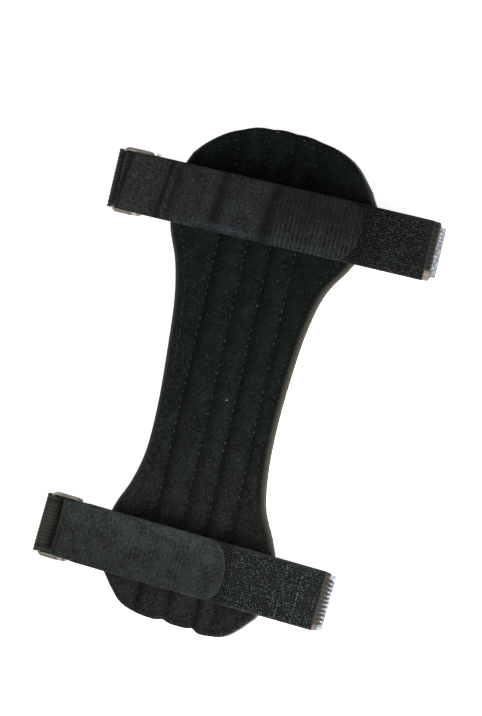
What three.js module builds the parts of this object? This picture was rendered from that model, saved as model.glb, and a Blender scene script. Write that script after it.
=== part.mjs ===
// Archery arm guard lying on its outer face, with both straps fastened across its open back.
// Millimetres. +Y runs along the guard to its wide elbow end, +X to the right of someone who
// looks into the guard, +Z is up. The origin is on the flat outer face, in the middle of the length.

import * as THREE from 'three';
import { mergeVertices } from 'three/addons/utils/BufferGeometryUtils.js';

// Layers
const LEATHER = 2.0;
const LINING = 1.6;
const TAPE = 1.5;
const ELASTIC = 1.2;
const GAP = 0.3;

// Trough: a flat strip along the middle, a bend on each side, then a straight slope to the rim
const FLAT_HALF = 11.5;
const BEND_RADIUS = 46;
const RIM_SLOPE = THREE.MathUtils.degToRad(20);

// Quilting of the lining: three channels between four straight stitch lines
const STITCH_LINES = [-17, -4.2, 5.8, 17.2];
const RIDGE = 1.3;
const MARGIN_PAD = 0.5;
const SCALLOP = 0.4;
const END_RIDGE = 0.45;
const END_FADE = 0.08;

// Outline of the outer face: its two sides, then its two ends from left to right
const SIDES = [
  { y: -94, left: -29.2, right: 36.4 },
  { y: -86, left: -34.2, right: 39.8 },
  { y: -76, left: -36.0, right: 41.0 },
  { y: -62, left: -34.1, right: 36.2 },
  { y: -50, left: -29.6, right: 29.9 },
  { y: -38, left: -26.9, right: 27.2 },
  { y: -20, left: -26.2, right: 26.0 },
  { y: 8, left: -27.6, right: 27.2 },
  { y: 30, left: -29.6, right: 30.0 },
  { y: 44, left: -32.6, right: 34.2 },
  { y: 57, left: -37.3, right: 42.9 },
  { y: 70, left: -38.9, right: 49.0 },
  { y: 80, left: -38.2, right: 49.6 },
  { y: 89, left: -35.0, right: 44.6 },
];
const ELBOW_END = [
  { x: -35.0, y: 89.0 },
  { x: -31.7, y: 93.2 },
  { x: -24.1, y: 99.8 },
  { x: -16.3, y: 103.3 },
  { x: -8.0, y: 105.3 },
  { x: 4.0, y: 106.0 },
  { x: 16.5, y: 105.0 },
  { x: 25.0, y: 103.4 },
  { x: 33.9, y: 99.6 },
  { x: 38.3, y: 96.0 },
  { x: 44.6, y: 89.0 },
];
const WRIST_END = [
  { x: -29.2, y: -94.0 },
  { x: -24.1, y: -99.8 },
  { x: -19.0, y: -102.4 },
  { x: -10.0, y: -103.7 },
  { x: 2.0, y: -104.6 },
  { x: 12.3, y: -105.8 },
  { x: 20.7, y: -105.6 },
  { x: 25.0, y: -104.2 },
  { x: 29.5, y: -101.0 },
  { x: 36.4, y: -94.0 },
];
const ROWS = 34;
const END_BLEND = 0.24;

// Straps: where each crosses the guard, its turn, and where its ends lie along its own length
const STRAP_WIDTH = 25.4;
const RING_STRAP_WIDTH = 22.6;
const RING_FLARE = 3.5;
const FOLD_WIDTH = 23.0;
const FOLD_FLARE = 12;
const ELASTIC_WIDTH = 25.0;
const TAB_WIDTH = 22.6;
const SAG = 0.4;
const END_DROOP = 0.4;
const ROUTE_SLACK = 0.05;
const STRAPS = [
  {
    name: 'upper', y: 71.2, turn: -0.3,
    ringX: -49.6, tabEnd: 44.4, tapeEnd: 73.9, endReach: 4.6,
    foldBack: 9.2, foldLift: 2.0, foldRadius: 1.7,
  },
  {
    name: 'lower', y: -78.1, turn: -2.75,
    ringX: -47.2, tabEnd: 19.8, tapeEnd: 61.0, endReach: 4.2,
    foldBack: 4.3, foldLift: 0, foldRadius: 2.3,
  },
];

// The hook tab: where it settles on the tape past the ring, its waves and its rounded end
const TAB_SETTLE = 10;
const TAB_KNOT = 9;
const TAB_ROUND = 9;
const TAB_POWER = 2.4;
const TAB_ROUND_SHARES = [0.35, 0.6, 0.8, 0.92, 0.985];
const WAVE = 0.35;
const WAVE_LENGTH = 23;

// The ribbed elastic: its lap under the tape, its fold at the right and its rise off the rim
const TAPE_LAP = 20;
const RIGHT_FOLD_RADIUS = 2.3;
const RIM_LEAD = 3.5;
const SEWN_STEPS = 4;

// Rings: rounded wire loops, tilted so that the bar in the elastic lies lower
const WIRE_RADIUS = 1.15;
const RING_LENGTH = 25.6;
const RING_SPAN = 13.6;
const RING_CORNER = 2.1;
const RING_DROP = 0.8;
const LEG_SLACK = 0.35;
const BAR_LEAD = 2;
const BAR_SETTLE = 7;
const TAB_BEND_RADIUS = 2;
const INNER_LEG = 4.5;

const material = {
  leather: new THREE.MeshStandardMaterial({ color: 0x15140f, roughness: 0.55, metalness: 0 }),
  lining: new THREE.MeshStandardMaterial({ color: 0x151a17, roughness: 0.95, metalness: 0 }),
  tape: new THREE.MeshStandardMaterial({ color: 0x262b29, roughness: 0.85, metalness: 0 }),
  elastic: new THREE.MeshStandardMaterial({ color: 0x23241f, roughness: 0.8, metalness: 0 }),
  ring: new THREE.MeshStandardMaterial({ color: 0xa79d90, roughness: 0.28, metalness: 1 }),
};

const ease = (t) => THREE.MathUtils.smoothstep(t, 0, 1);

// A smooth curve through one column of a table, read at any place along another column.
function tableCurve(rows, along, column) {
  const places = rows.map((row) => row[along]);
  const values = rows.map((row) => row[column]);
  const curve = new THREE.CubicInterpolant(places, values, 1);
  return (place) => curve.evaluate(THREE.MathUtils.clamp(place, places[0], places.at(-1)))[0];
}

const leftSide = tableCurve(SIDES, 'y', 'left');
const rightSide = tableCurve(SIDES, 'y', 'right');
const elbowEnd = tableCurve(ELBOW_END, 'x', 'y');
const wristEnd = tableCurve(WRIST_END, 'x', 'y');
const SIDE_LOW = SIDES[0].y;
const SIDE_HIGH = SIDES.at(-1).y;

// Height and slope of the outer face at a distance across the trough.
function trough(x) {
  const past = Math.abs(x) - FLAT_HALF;
  const angle = Math.min(Math.asin(Math.min(Math.max(past, 0) / BEND_RADIUS, 1)), RIM_SLOPE);
  const straight = Math.max(past - BEND_RADIUS * Math.sin(RIM_SLOPE), 0);
  const height = BEND_RADIUS * (1 - Math.cos(angle)) + straight * Math.tan(RIM_SLOPE);
  return { height, angle: Math.sign(x) * angle };
}

// The point at a depth square to the outer face; a negative depth is outside the guard.
function onTrough(x, depth) {
  const { height, angle } = trough(x);
  return { x: x - depth * Math.sin(angle), z: height + depth * Math.cos(angle) };
}

// Columns of the guard's grid: straight ones on and between the stitch lines, then margins whose
// place is a share of the way from the outermost stitch line to the rim.
function guardColumns(marginSteps, channelSteps) {
  const columns = [];
  for (let step = marginSteps; step > 0; step -= 1) {
    columns.push({ start: STITCH_LINES[0], side: leftSide, share: step / marginSteps, puff: 0 });
  }
  STITCH_LINES.slice(0, -1).forEach((start, channel) => {
    const end = STITCH_LINES[channel + 1];
    for (let step = 0; step < channelSteps; step += 1) {
      const share = step / channelSteps;
      const x = THREE.MathUtils.lerp(start, end, share);
      columns.push({ start: x, side: null, share: 0, puff: Math.sin(Math.PI * share) });
    }
  });
  for (let step = 0; step <= marginSteps; step += 1) {
    columns.push({ start: STITCH_LINES.at(-1), side: rightSide, share: step / marginSteps, puff: 0 });
  }
  return columns;
}

function columnX(column, y) {
  return column.side ? THREE.MathUtils.lerp(column.start, column.side(y), column.share) : column.start;
}

// Plan place of a grid point: rows are straight across the waist and bend into the end curves.
function guardPlace(column, share) {
  const y = THREE.MathUtils.lerp(SIDE_LOW, SIDE_HIGH, share);
  const top = ease((share - 1 + END_BLEND) / END_BLEND);
  const bottom = ease((END_BLEND - share) / END_BLEND);
  const topReach = elbowEnd(columnX(column, SIDE_HIGH)) - SIDE_HIGH + SCALLOP * column.puff;
  const bottomReach = wristEnd(columnX(column, SIDE_LOW)) - SIDE_LOW - SCALLOP * column.puff;
  return { x: columnX(column, y), y: y + top * topReach + bottom * bottomReach };
}

// How far the quilted lining stands up over its seams at a grid point.
function quilting(column, share) {
  const fade = THREE.MathUtils.lerp(END_RIDGE, 1, ease(Math.min(share, 1 - share) / END_FADE));
  return (RIDGE * column.puff + MARGIN_PAD * Math.sin(Math.PI * column.share)) * fade;
}

// A closed body from a box grid: every grid point is moved to its place by the given function.
function warpedBox(steps, place) {
  const box = new THREE.BoxGeometry(1, 1, 1, steps.long, steps.wide, 1);
  box.deleteAttribute('normal');
  box.deleteAttribute('uv');
  const geometry = mergeVertices(box, 1e-4);
  const spots = geometry.attributes.position;
  for (let index = 0; index < spots.count; index += 1) {
    const long = Math.round((spots.getX(index) + 0.5) * steps.long);
    const wide = Math.round((spots.getY(index) + 0.5) * steps.wide);
    const point = place(long, wide, spots.getZ(index) > 0);
    spots.setXYZ(index, point.x, point.y, point.z);
  }
  geometry.computeVertexNormals();
  return geometry;
}

function panelGeometry(columns, outerDepth, thickness, relief) {
  return warpedBox({ long: columns.length - 1, wide: ROWS }, (long, wide, isInner) => {
    const column = columns[long];
    const share = wide / ROWS;
    const { x, y } = guardPlace(column, share);
    const depth = isInner ? outerDepth + thickness + relief(column, share) : outerDepth;
    return { y, ...onTrough(x, depth) };
  });
}

// A flat band carried along a route in its own XZ plane; halfWidths follow the route's points.
function bandGeometry(points, thickness, halfWidths, acrossSteps) {
  const last = points.length - 1;
  return warpedBox({ long: last, wide: acrossSteps }, (long, wide, isUpper) => {
    const before = points[Math.max(long - 1, 0)];
    const after = points[Math.min(long + 1, last)];
    const along = after.clone().sub(before).normalize();
    const side = (isUpper ? thickness : -thickness) / 2;
    const y = halfWidths[long] * ((2 * wide) / acrossSteps - 1);
    return { x: points[long].x - along.y * side, y, z: points[long].y + along.x * side };
  });
}

function addMesh(group, name, geometry, surface) {
  const mesh = new THREE.Mesh(geometry, surface);
  mesh.name = name;
  group.add(mesh);
  return mesh;
}

// Height of a route at a place along the strap, for a route that runs one way along it.
function heightAt(points, x) {
  const isPast = (point, index) => index > 0 && (point.x - x) * (points[index - 1].x - x) <= 0;
  const next = points.findIndex(isPast);
  const [a, b] = [points[next - 1], points[next]];
  return THREE.MathUtils.mapLinear(x, a.x, b.x, a.y, b.y);
}

// The highest point of the rim under a strap, in the strap's own frame.
function rimUnder(strap, side) {
  const turn = THREE.MathUtils.degToRad(strap.turn);
  let highest = { x: 0, z: -Infinity };
  for (let across = -STRAP_WIDTH / 2; across <= STRAP_WIDTH / 2; across += STRAP_WIDTH / 8) {
    const rim = side(strap.y + across);
    const top = onTrough(rim, LEATHER + GAP + LINING);
    if (top.z > highest.z) {
      highest = { x: top.x * Math.cos(turn) + across * Math.sin(turn), z: top.z, rim };
    }
  }
  return highest;
}

// Elastic sewn under the outer face, from the rim in to where it meets the surface under the guard.
function sewnPlaces(rim, layout) {
  const places = [];
  for (let step = 0; step <= SEWN_STEPS; step += 1) {
    const x = THREE.MathUtils.lerp(rim, Math.sign(rim) * layout.footX, step / SEWN_STEPS);
    places.push(onTrough(x, layout.sewnDepth));
  }
  return places;
}

// Sizes of one strap's route that its pieces share.
function strapLayout(strap) {
  const left = rimUnder(strap, leftSide);
  const right = rimUnder(strap, rightSide);
  const turn = Math.abs(THREE.MathUtils.degToRad(strap.turn));
  const turnRise = Math.sin(turn) * (STRAP_WIDTH / 2) * Math.tan(RIM_SLOPE);
  const overRim = GAP + TAPE / 2;
  const leftZ = left.z + overRim;
  const barZ = leftZ - RING_DROP;
  const underBar = WIRE_RADIUS + GAP + TAPE / 2;
  const legZ = barZ - underBar - TAPE / 2 - GAP - ELASTIC / 2 - LEG_SLACK;
  const outerLegZ = legZ - ELASTIC - GAP;
  const wrapRadius = WIRE_RADIUS + GAP + ELASTIC / 2;
  const lowBarZ = outerLegZ + wrapRadius;
  const tilt = Math.asin((barZ - lowBarZ) / RING_SPAN);
  const footAngle = Math.acos(BEND_RADIUS / (BEND_RADIUS + GAP + turnRise + ELASTIC));
  return {
    leftX: left.x, leftZ, leftRim: left.rim,
    rightX: right.x, rightZ: right.z + overRim, rightRim: right.rim,
    barX: strap.ringX, barZ, underBar,
    lowBarX: strap.ringX - RING_SPAN * Math.cos(tilt), lowBarZ, tilt,
    legZ, outerLegZ, wrapRadius,
    sewnDepth: -(GAP + ELASTIC / 2 + turnRise),
    footX: FLAT_HALF + BEND_RADIUS * Math.sin(footAngle),
  };
}

const toPoints = (places) => places.map((place) => new THREE.Vector2(place.x, place.z));

// The tape's lower layer, from its cut end over both rims to under the ring's bar.
function lowerRoute(strap, layout) {
  const { rightX, rightZ, leftX, leftZ, barX, barZ, underBar } = layout;
  const route = new THREE.Path();
  route.moveTo(strap.tapeEnd, rightZ - END_DROOP);
  const span = [0.2, 0.4, 0.6, 0.8].map((share) => ({
    x: THREE.MathUtils.lerp(rightX, leftX, share),
    z: THREE.MathUtils.lerp(rightZ, leftZ, share) - SAG * 4 * share * (1 - share),
  }));
  const foldX = barX - strap.foldBack;
  const foldZ = barZ + strap.foldLift;
  const passZ = barZ - underBar - ROUTE_SLACK;
  const settleShare = (BAR_SETTLE - BAR_LEAD) / (leftX - barX);
  route.splineThru(toPoints([
    { x: THREE.MathUtils.lerp(rightX, strap.tapeEnd, 0.55), z: rightZ - END_DROOP / 4 },
    { x: rightX + BAR_LEAD, z: rightZ },
    ...span,
    { x: leftX, z: leftZ },
    { x: barX + BAR_SETTLE, z: THREE.MathUtils.lerp(passZ, leftZ, settleShare) },
    { x: barX + BAR_LEAD, z: passZ },
    { x: barX - BAR_LEAD, z: passZ },
    { x: foldX, z: foldZ - strap.foldRadius },
  ]));
  return route;
}

// The whole tape: lower layer, fold through the ring, then the hook tab back on top of itself.
function tapeRoute(strap, layout) {
  const { barX, barZ, underBar } = layout;
  const route = lowerRoute(strap, layout);
  const lower = route.getPoints(4);
  const foldX = barX - strap.foldBack;
  const foldZ = barZ + strap.foldLift;
  route.absarc(foldX, foldZ, strap.foldRadius, -Math.PI / 2, Math.PI / 2, true);
  const tabStop = strap.tabEnd - TAB_ROUND;
  const overTape = (x) => {
    const wave = (WAVE * (1 + Math.cos((2 * Math.PI * (Math.min(x, tabStop) - tabStop)) / WAVE_LENGTH))) / 2;
    return { x, z: heightAt(lower, x) + TAPE + GAP + ROUTE_SLACK + wave };
  };
  const tabStart = barX + TAB_SETTLE;
  const steps = Math.round((tabStop - tabStart) / TAB_KNOT);
  const tab = [];
  for (let step = 0; step <= steps; step += 1) {
    tab.push(overTape(THREE.MathUtils.lerp(tabStart, tabStop, step / steps)));
  }
  const overBar = barZ + underBar + ROUTE_SLACK;
  route.splineThru(toPoints([
    { x: barX - BAR_LEAD, z: overBar + strap.foldLift / 4 },
    { x: barX + BAR_LEAD, z: overBar },
    { x: barX + TAB_SETTLE / 2, z: THREE.MathUtils.lerp(overBar, tab[0].z, 0.3) },
    ...tab,
  ]));
  const roundEnd = toPoints(TAB_ROUND_SHARES.map((share) => overTape(tabStop + share * TAB_ROUND)));
  return [...route.getPoints(3), ...roundEnd];
}

// The tape narrows where it passes through the ring, widens again from its fold on the way back, and
// ends in a rounded tab.
function tapeHalfWidths(strap, points) {
  const firstRound = points.length - TAB_ROUND_SHARES.length;
  const foldX = Math.min(...points.map((point) => point.x));
  const fold = points.findIndex((point) => point.x === foldX);
  return points.map((point, index) => {
    const under = ease((point.x - strap.ringX - BAR_LEAD) / RING_FLARE);
    const over = ease((point.x - foldX) / FOLD_FLARE);
    const width = index > fold
      ? THREE.MathUtils.lerp(FOLD_WIDTH, STRAP_WIDTH, over)
      : THREE.MathUtils.lerp(RING_STRAP_WIDTH, STRAP_WIDTH, under);
    const half = width / 2;
    const share = index < firstRound ? 0 : TAB_ROUND_SHARES[index - firstRound];
    return half * (1 - share ** TAB_POWER) ** (1 / TAB_POWER);
  });
}

// The ribbed elastic: under the tape's end, round the right fold and back under the outer face.
function elasticRoute(strap, layout) {
  const lower = lowerRoute(strap, layout).getPoints(4);
  const under = (x) => {
    const tapeZ = heightAt(lower, Math.min(x, strap.tapeEnd));
    return { x, z: tapeZ - TAPE / 2 - GAP - ELASTIC / 2 };
  };
  const foldX = strap.tapeEnd + strap.endReach - RIGHT_FOLD_RADIUS - ELASTIC / 2;
  const start = under(strap.tapeEnd - TAPE_LAP);
  const top = under(foldX);
  const route = new THREE.Path();
  route.moveTo(start.x, start.z);
  route.splineThru(toPoints([under((start.x + foldX) / 2), top]));
  route.absarc(foldX, top.z - RIGHT_FOLD_RADIUS, RIGHT_FOLD_RADIUS, Math.PI / 2, -Math.PI / 2, true);
  const bottomZ = top.z - 2 * RIGHT_FOLD_RADIUS;
  const sewn = sewnPlaces(layout.rightRim, layout);
  const lead = { x: sewn[0].x + RIM_LEAD, z: sewn[0].z + (RIM_LEAD * Math.tan(RIM_SLOPE)) / 1.4 };
  route.splineThru(toPoints([
    { x: THREE.MathUtils.lerp(foldX, lead.x, 0.3), z: THREE.MathUtils.lerp(bottomZ, lead.z, 0.12) },
    { x: THREE.MathUtils.lerp(foldX, lead.x, 0.7), z: THREE.MathUtils.lerp(bottomZ, lead.z, 0.65) },
    lead,
    ...sewn,
  ]));
  return route.getPoints(3);
}

// The ring's tab: sewn under the outer face, out to the ring, round its lower bar and back.
function ringTabRoute(strap, layout) {
  const { lowBarX, lowBarZ, outerLegZ, legZ, wrapRadius, barX } = layout;
  const sewn = sewnPlaces(layout.leftRim, layout).reverse();
  const rim = sewn.at(-1);
  const route = new THREE.Path();
  route.moveTo(sewn[0].x, sewn[0].z);
  route.splineThru(toPoints([
    ...sewn.slice(1),
    { x: rim.x - RIM_LEAD, z: rim.z + (RIM_LEAD * Math.tan(RIM_SLOPE)) / 2 },
    { x: THREE.MathUtils.lerp(rim.x, barX, 0.65), z: THREE.MathUtils.lerp(rim.z, outerLegZ, 0.6) },
    { x: barX, z: outerLegZ },
    { x: (barX + lowBarX) / 2, z: outerLegZ },
    { x: lowBarX, z: outerLegZ },
  ]));
  route.absarc(lowBarX, lowBarZ, wrapRadius, -Math.PI / 2, Math.PI / 4, true);
  const drop = lowBarZ + wrapRadius * Math.SQRT1_2 - legZ;
  const bendDrop = TAB_BEND_RADIUS * (1 - Math.SQRT1_2);
  const bendX = lowBarX + drop - bendDrop + (wrapRadius + TAB_BEND_RADIUS) * Math.SQRT1_2;
  route.absarc(bendX, legZ + TAB_BEND_RADIUS, TAB_BEND_RADIUS, -0.75 * Math.PI, -0.5 * Math.PI, false);
  route.splineThru(toPoints([{ x: barX, z: legZ }, { x: barX + INNER_LEG, z: legZ }]));
  return route.getPoints(3);
}

// A rounded rectangular wire loop, lying flat about its own middle.
function ringGeometry() {
  const half = { x: RING_SPAN / 2 - RING_CORNER, y: RING_LENGTH / 2 - RING_CORNER };
  const corners = [[1, 1], [-1, 1], [-1, -1], [1, -1]];
  const points = corners.flatMap(([signX, signY], corner) => [0, 1, 2, 3].map((step) => {
    const angle = (corner + step / 3) * (Math.PI / 2);
    return new THREE.Vector3(
      signX * half.x + RING_CORNER * Math.cos(angle),
      signY * half.y + RING_CORNER * Math.sin(angle),
      0,
    );
  }));
  const loop = new THREE.CatmullRomCurve3(points, true, 'centripetal');
  const tube = new THREE.TubeGeometry(loop, 52, WIRE_RADIUS, 8, true);
  tube.deleteAttribute('normal');
  tube.deleteAttribute('uv');
  const geometry = mergeVertices(tube, 1e-4);
  geometry.computeVertexNormals();
  return geometry;
}

function strapGroup(strap) {
  const layout = strapLayout(strap);
  const group = new THREE.Group();
  group.position.y = strap.y;
  group.rotation.z = THREE.MathUtils.degToRad(strap.turn);

  const tape = tapeRoute(strap, layout);
  const tapeShape = bandGeometry(tape, TAPE, tapeHalfWidths(strap, tape), 2);
  addMesh(group, `${strap.name}_strap`, tapeShape, material.tape);

  const elastic = elasticRoute(strap, layout);
  const elasticShape = bandGeometry(elastic, ELASTIC, elastic.map(() => ELASTIC_WIDTH / 2), 2);
  addMesh(group, `${strap.name}_elastic`, elasticShape, material.elastic);

  const tab = ringTabRoute(strap, layout);
  const tabShape = bandGeometry(tab, ELASTIC, tab.map(() => TAB_WIDTH / 2), 2);
  addMesh(group, `${strap.name}_ring_tab`, tabShape, material.elastic);

  const ring = addMesh(group, `${strap.name}_ring`, ringGeometry(), material.ring);
  ring.position.set((layout.barX + layout.lowBarX) / 2, 0, (layout.barZ + layout.lowBarZ) / 2);
  ring.rotation.y = -layout.tilt;
  return group;
}

const armGuard = new THREE.Group();
const flatRelief = () => 0;
const frontShape = panelGeometry(guardColumns(4, 2), 0, LEATHER, flatRelief);
const liningShape = panelGeometry(guardColumns(4, 5), LEATHER + GAP, LINING, quilting);
addMesh(armGuard, 'front_panel', frontShape, material.leather);
addMesh(armGuard, 'back_lining', liningShape, material.lining);
STRAPS.forEach((strap) => armGuard.add(strapGroup(strap)));

export default armGuard;
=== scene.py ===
"""Archery arm guard lying on its outer face, with both straps fastened across its open back.

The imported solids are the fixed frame. Each of them is replaced, in its own place, by a detailed
piece: a quilted lining over a leather front, two tapes that close on themselves, ribbed elastics
and wire rings. Lengths in this file are millimetres unless a setting says otherwise, and the
meshes are metres.
"""

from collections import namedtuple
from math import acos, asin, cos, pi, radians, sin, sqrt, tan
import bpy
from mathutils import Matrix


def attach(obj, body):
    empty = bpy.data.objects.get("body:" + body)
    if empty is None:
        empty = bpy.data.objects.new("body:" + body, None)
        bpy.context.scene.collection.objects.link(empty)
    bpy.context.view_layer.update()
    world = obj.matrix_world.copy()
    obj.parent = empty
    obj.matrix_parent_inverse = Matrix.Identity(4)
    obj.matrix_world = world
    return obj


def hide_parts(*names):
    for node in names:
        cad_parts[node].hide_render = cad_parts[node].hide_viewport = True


bl_info = {
    "name": "Archery arm guard",
    "version": (1, 0, 0),
    "blender": (4, 5, 0),
    "location": "3D View > Sidebar > Arm guard",
    "description": "Builds a quilted arm guard and its two fastened straps around their solids",
    "category": "Object",
}

from types import SimpleNamespace

import bpy
import numpy as np
from bpy.props import FloatProperty, FloatVectorProperty, IntProperty, PointerProperty
from mathutils import Matrix, Vector

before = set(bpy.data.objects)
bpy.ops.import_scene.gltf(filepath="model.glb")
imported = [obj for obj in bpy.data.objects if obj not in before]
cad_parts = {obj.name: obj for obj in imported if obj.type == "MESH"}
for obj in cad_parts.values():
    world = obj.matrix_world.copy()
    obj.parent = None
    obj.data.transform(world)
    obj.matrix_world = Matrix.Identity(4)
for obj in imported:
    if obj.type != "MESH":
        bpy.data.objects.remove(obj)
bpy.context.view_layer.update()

MM = 0.001
BODY = "root"
TINY = 1e-6

# Seeds of what is scattered
STITCH_SEED = 3
LAP_SEED = 5
PILE_SEED = 11
TUFT_SEED = 17

# Layers, and how closely the dressed pieces lie on each other
LEATHER = 2.0
LINING = 1.6
TAPE = 1.5
ELASTIC = 1.2
GAP = 0.3
SNUG = 0.08

# Trough: a flat strip along the middle, a bend on each side, then a straight slope to the rim
FLAT_HALF = 11.5
BEND_RADIUS = 46.0
RIM_SLOPE = radians(20)

# Quilting: three channels between four straight stitch lines, lower at both ends
STITCH_LINES = np.array([-17.0, -4.2, 5.8, 17.2])
CHANNEL_POWER = 1.2
SCALLOP = 0.4
NOTCH = 0.7
NOTCH_WIDTH = 1.7
END_RIDGE = 0.45
END_FADE = 15.0
END_BLEND = 0.24
RIM_BAND = 6.0
OUTLINE_STEP = 0.25
PLACES_AT_ONCE = 2000

# The third seam drifts to the right under the lower strap
DRIFT = 3.6
DRIFT_WIDTH = 7.0
DRIFT_START = -62.0
DRIFT_RUN = 30.0

# Seams of the lining: how far they and their needle holes sink, and the puckers beside them
SEAM_SINK = 0.12
HOLE_SINK = 0.2
SEAM_WIDTH = 0.9
RIM_SEAM_SINK = 0.2
RIM_HOLE_SINK = 0.1
RIM_SEAM_WIDTH = 1.0
PUCKER = 0.12
PUCKER_REACH = 1.6
PUCKER_WIDTH = 1.4
PUCKER_FADE = 3.0

# Lining outside its seams: the lip beyond the rim's seam and the low unevenness all over
LIP = 0.2
UNEVEN = 0.1
UNEVEN_FADE = 4.0

# Seams of the leather
FRONT_SEAM_SINK = 0.35
FRONT_SEAM_WIDTH = 0.7

# Rims: the radius that each layer's edge rolls in by, and how far in its cut edge shows
LINING_ROLL = 1.2
LEATHER_ROLL = 0.7
LINING_CUT = 1.7
LEATHER_CUT = 1.2

# Stitches: length as a share of the pitch, rise in thread radii, and tones, lowest at the wrist end
STITCH_SHARE = 0.34
STITCH_RISE = 1.2
STITCH_TINT = 0.7
STITCH_TINT_POWER = 1.4
RIM_STITCH_TONE = 0.55
WRIST_STITCH_TONE = 0.15
WRIST_TONE_START = -102.0
WRIST_TONE_RUN = 75.0
SEAM_SMOOTHING = 6

# Painted shade beside each stitch line: how dark it is painted, how far to the line's right and how
# wide
PAINTED_HOLLOW_SHADES = np.array([1.0, 0.35, 1.0, 0.7])
HOLLOW_SHIFT = 1.2
HOLLOW_WIDTH = 1.7

# Painted highlights on the channels' crests: how pale each is painted, how far right of its left
# stitch line and how wide
CREST_HIGHLIGHTS = np.array([1.0, 0.3, 0.7])
CREST_SHIFT = 4.9
CREST_WIDTH = 2.0

# Painted light: the lining is painted paler from about its middle to the wrist end
PAINTED_LIGHT_START = 30.0
PAINTED_LIGHT_RUN = 130.0

# The rim is rubbed bare between its two ends, and less so about them
BARE_RIM = (-92.0, 100.0)
BARE_FADE = 18.0
BARE_END = 0.2

# Outline of the outer face: its two sides, then its two ends from left to right
SIDES = np.array(
    [
        (-94, -29.2, 36.4),
        (-86, -34.2, 39.8),
        (-76, -36.0, 41.0),
        (-62, -34.1, 36.2),
        (-50, -29.6, 29.9),
        (-38, -26.9, 27.2),
        (-20, -26.2, 26.0),
        (8, -27.6, 27.2),
        (30, -29.6, 30.0),
        (44, -32.6, 34.2),
        (57, -37.3, 42.9),
        (70, -38.9, 49.0),
        (80, -38.2, 49.6),
        (89, -35.0, 44.6),
    ],
    dtype=[("y", float), ("left", float), ("right", float)],
)
ELBOW_END = np.array(
    [
        (-35.0, 89.0),
        (-31.7, 93.2),
        (-24.1, 99.8),
        (-16.3, 103.3),
        (-8.0, 105.3),
        (4.0, 106.0),
        (16.5, 105.0),
        (25.0, 103.4),
        (33.9, 99.6),
        (38.3, 96.0),
        (44.6, 89.0),
    ],
    dtype=[("x", float), ("y", float)],
)
WRIST_END = np.array(
    [
        (-29.2, -94.0),
        (-24.1, -99.8),
        (-19.0, -102.4),
        (-10.0, -103.7),
        (2.0, -104.6),
        (12.3, -105.8),
        (20.7, -105.6),
        (25.0, -104.2),
        (29.5, -101.0),
        (36.4, -94.0),
    ],
    dtype=[("x", float), ("y", float)],
)

# Straps: where each crosses the guard, its turn, and where its ends lie along its own length
# tone and pile_tone are painted light and shade: the upper strap's tape and pile are painted darker
# and the lower one's lighter; dim paints shade over part of each hook tab
Strap = namedtuple(
    "Strap",
    "name y turn ring_x tab_start tab_end tab_slant tape_end end_reach"
    " fold_back fold_lift fold_radius fold_taper bow hem_hang"
    " tone pile_tone dim dim_start dim_side shadow_run ribs lap_seams lap_tone creases",
)
# A crease dips the hook tab and gets painted shade; one with no depth is only painted shade
Crease = namedtuple("Crease", "x depth run rise shade")
STRAPS = (
    Strap(
        name="upper", y=71.2, turn=-0.3,
        ring_x=-49.6, tab_start=-39.5, tab_end=44.4, tab_slant=0.1, tape_end=73.9, end_reach=4.6,
        fold_back=9.2, fold_lift=2.0, fold_radius=1.7, fold_taper=2.0, bow=-0.3, hem_hang=0.5,
        tone=0.78, pile_tone=1.5, dim=0.6, dim_start=3.0, dim_side=1, shadow_run=16.0,
        ribs=1.0, lap_seams=(18.9, 11.6), lap_tone=0.6,
        creases=(
            Crease(-59.2, 0.0, 1.0, 1.2, 0.9),
            Crease(-41.4, 0.8, 3.0, 1.5, 0.9),
            Crease(-37.2, 0.7, 1.2, 1.4, 0.5),
            Crease(-17.6, 1.2, 9.0, 3.2, 0.7),
            Crease(5.3, 1.3, 9.0, 3.4, 1.0),
        ),
    ),
    Strap(
        name="lower", y=-78.1, turn=-2.75,
        ring_x=-47.2, tab_start=-60.0, tab_end=19.8, tab_slant=-0.12, tape_end=61.4, end_reach=3.8,
        fold_back=4.3, fold_lift=0.0, fold_radius=2.3, fold_taper=0.8, bow=1.4, hem_hang=0.0,
        tone=1.17, pile_tone=1.75, dim=0.4, dim_start=-60.0, dim_side=-1, shadow_run=4.0,
        ribs=0.0, lap_seams=(16.1, 9.2), lap_tone=2.0,
        creases=(Crease(-36.0, 0.0, 5.0, 3.5, 0.0),),
    ),
)

# Widths of the tapes and elastics, and the runs over which they widen or narrow
STRAP_WIDTH = 25.4
RING_STRAP_WIDTH = 22.6
RING_FLARE = 2.8
FOLD_WIDTH = 23.3
FOLD_FLARE = 12.0
ELASTIC_WIDTH = 25.0
TAB_WIDTH = 23.3
LOOP_FLARE = 0.8
LOOP_FLARE_RUN = 2.5
FOLD_TAPER_RUN = 1.2
PAST_TURN = 0.3

# How the tapes and elastics lie along their routes
SAG = 0.4
END_DROOP = 0.4
ROUTE_SLACK = 0.05
TAB_ROUND = 9.0
TAB_POWER = 2.4
TAB_SPARE = 2.0
HEM_REACH = 3.2
CREASE_LEAN = 0.12
CREASE_BAND = 0.9
TAPE_LAP = 20.0
RIGHT_FOLD_RADIUS = 2.3
RIM_LEAD = 3.5
SEWN_KNOTS = 5
RIM_SAMPLES = 9

# Grids of the tapes and elastics
TAB_STEP = 0.3
TAPE_STEP = 0.5
TAPE_COLUMNS = 30
TAPE_EDGE = 0.55
TIP_ROWS = 20
TIP_SHARE = 0.985
EDGE_STEPS = 5
ELASTIC_STEP = 0.4
RIB_STEPS = 8
RIB_POWER = 0.6
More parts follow.
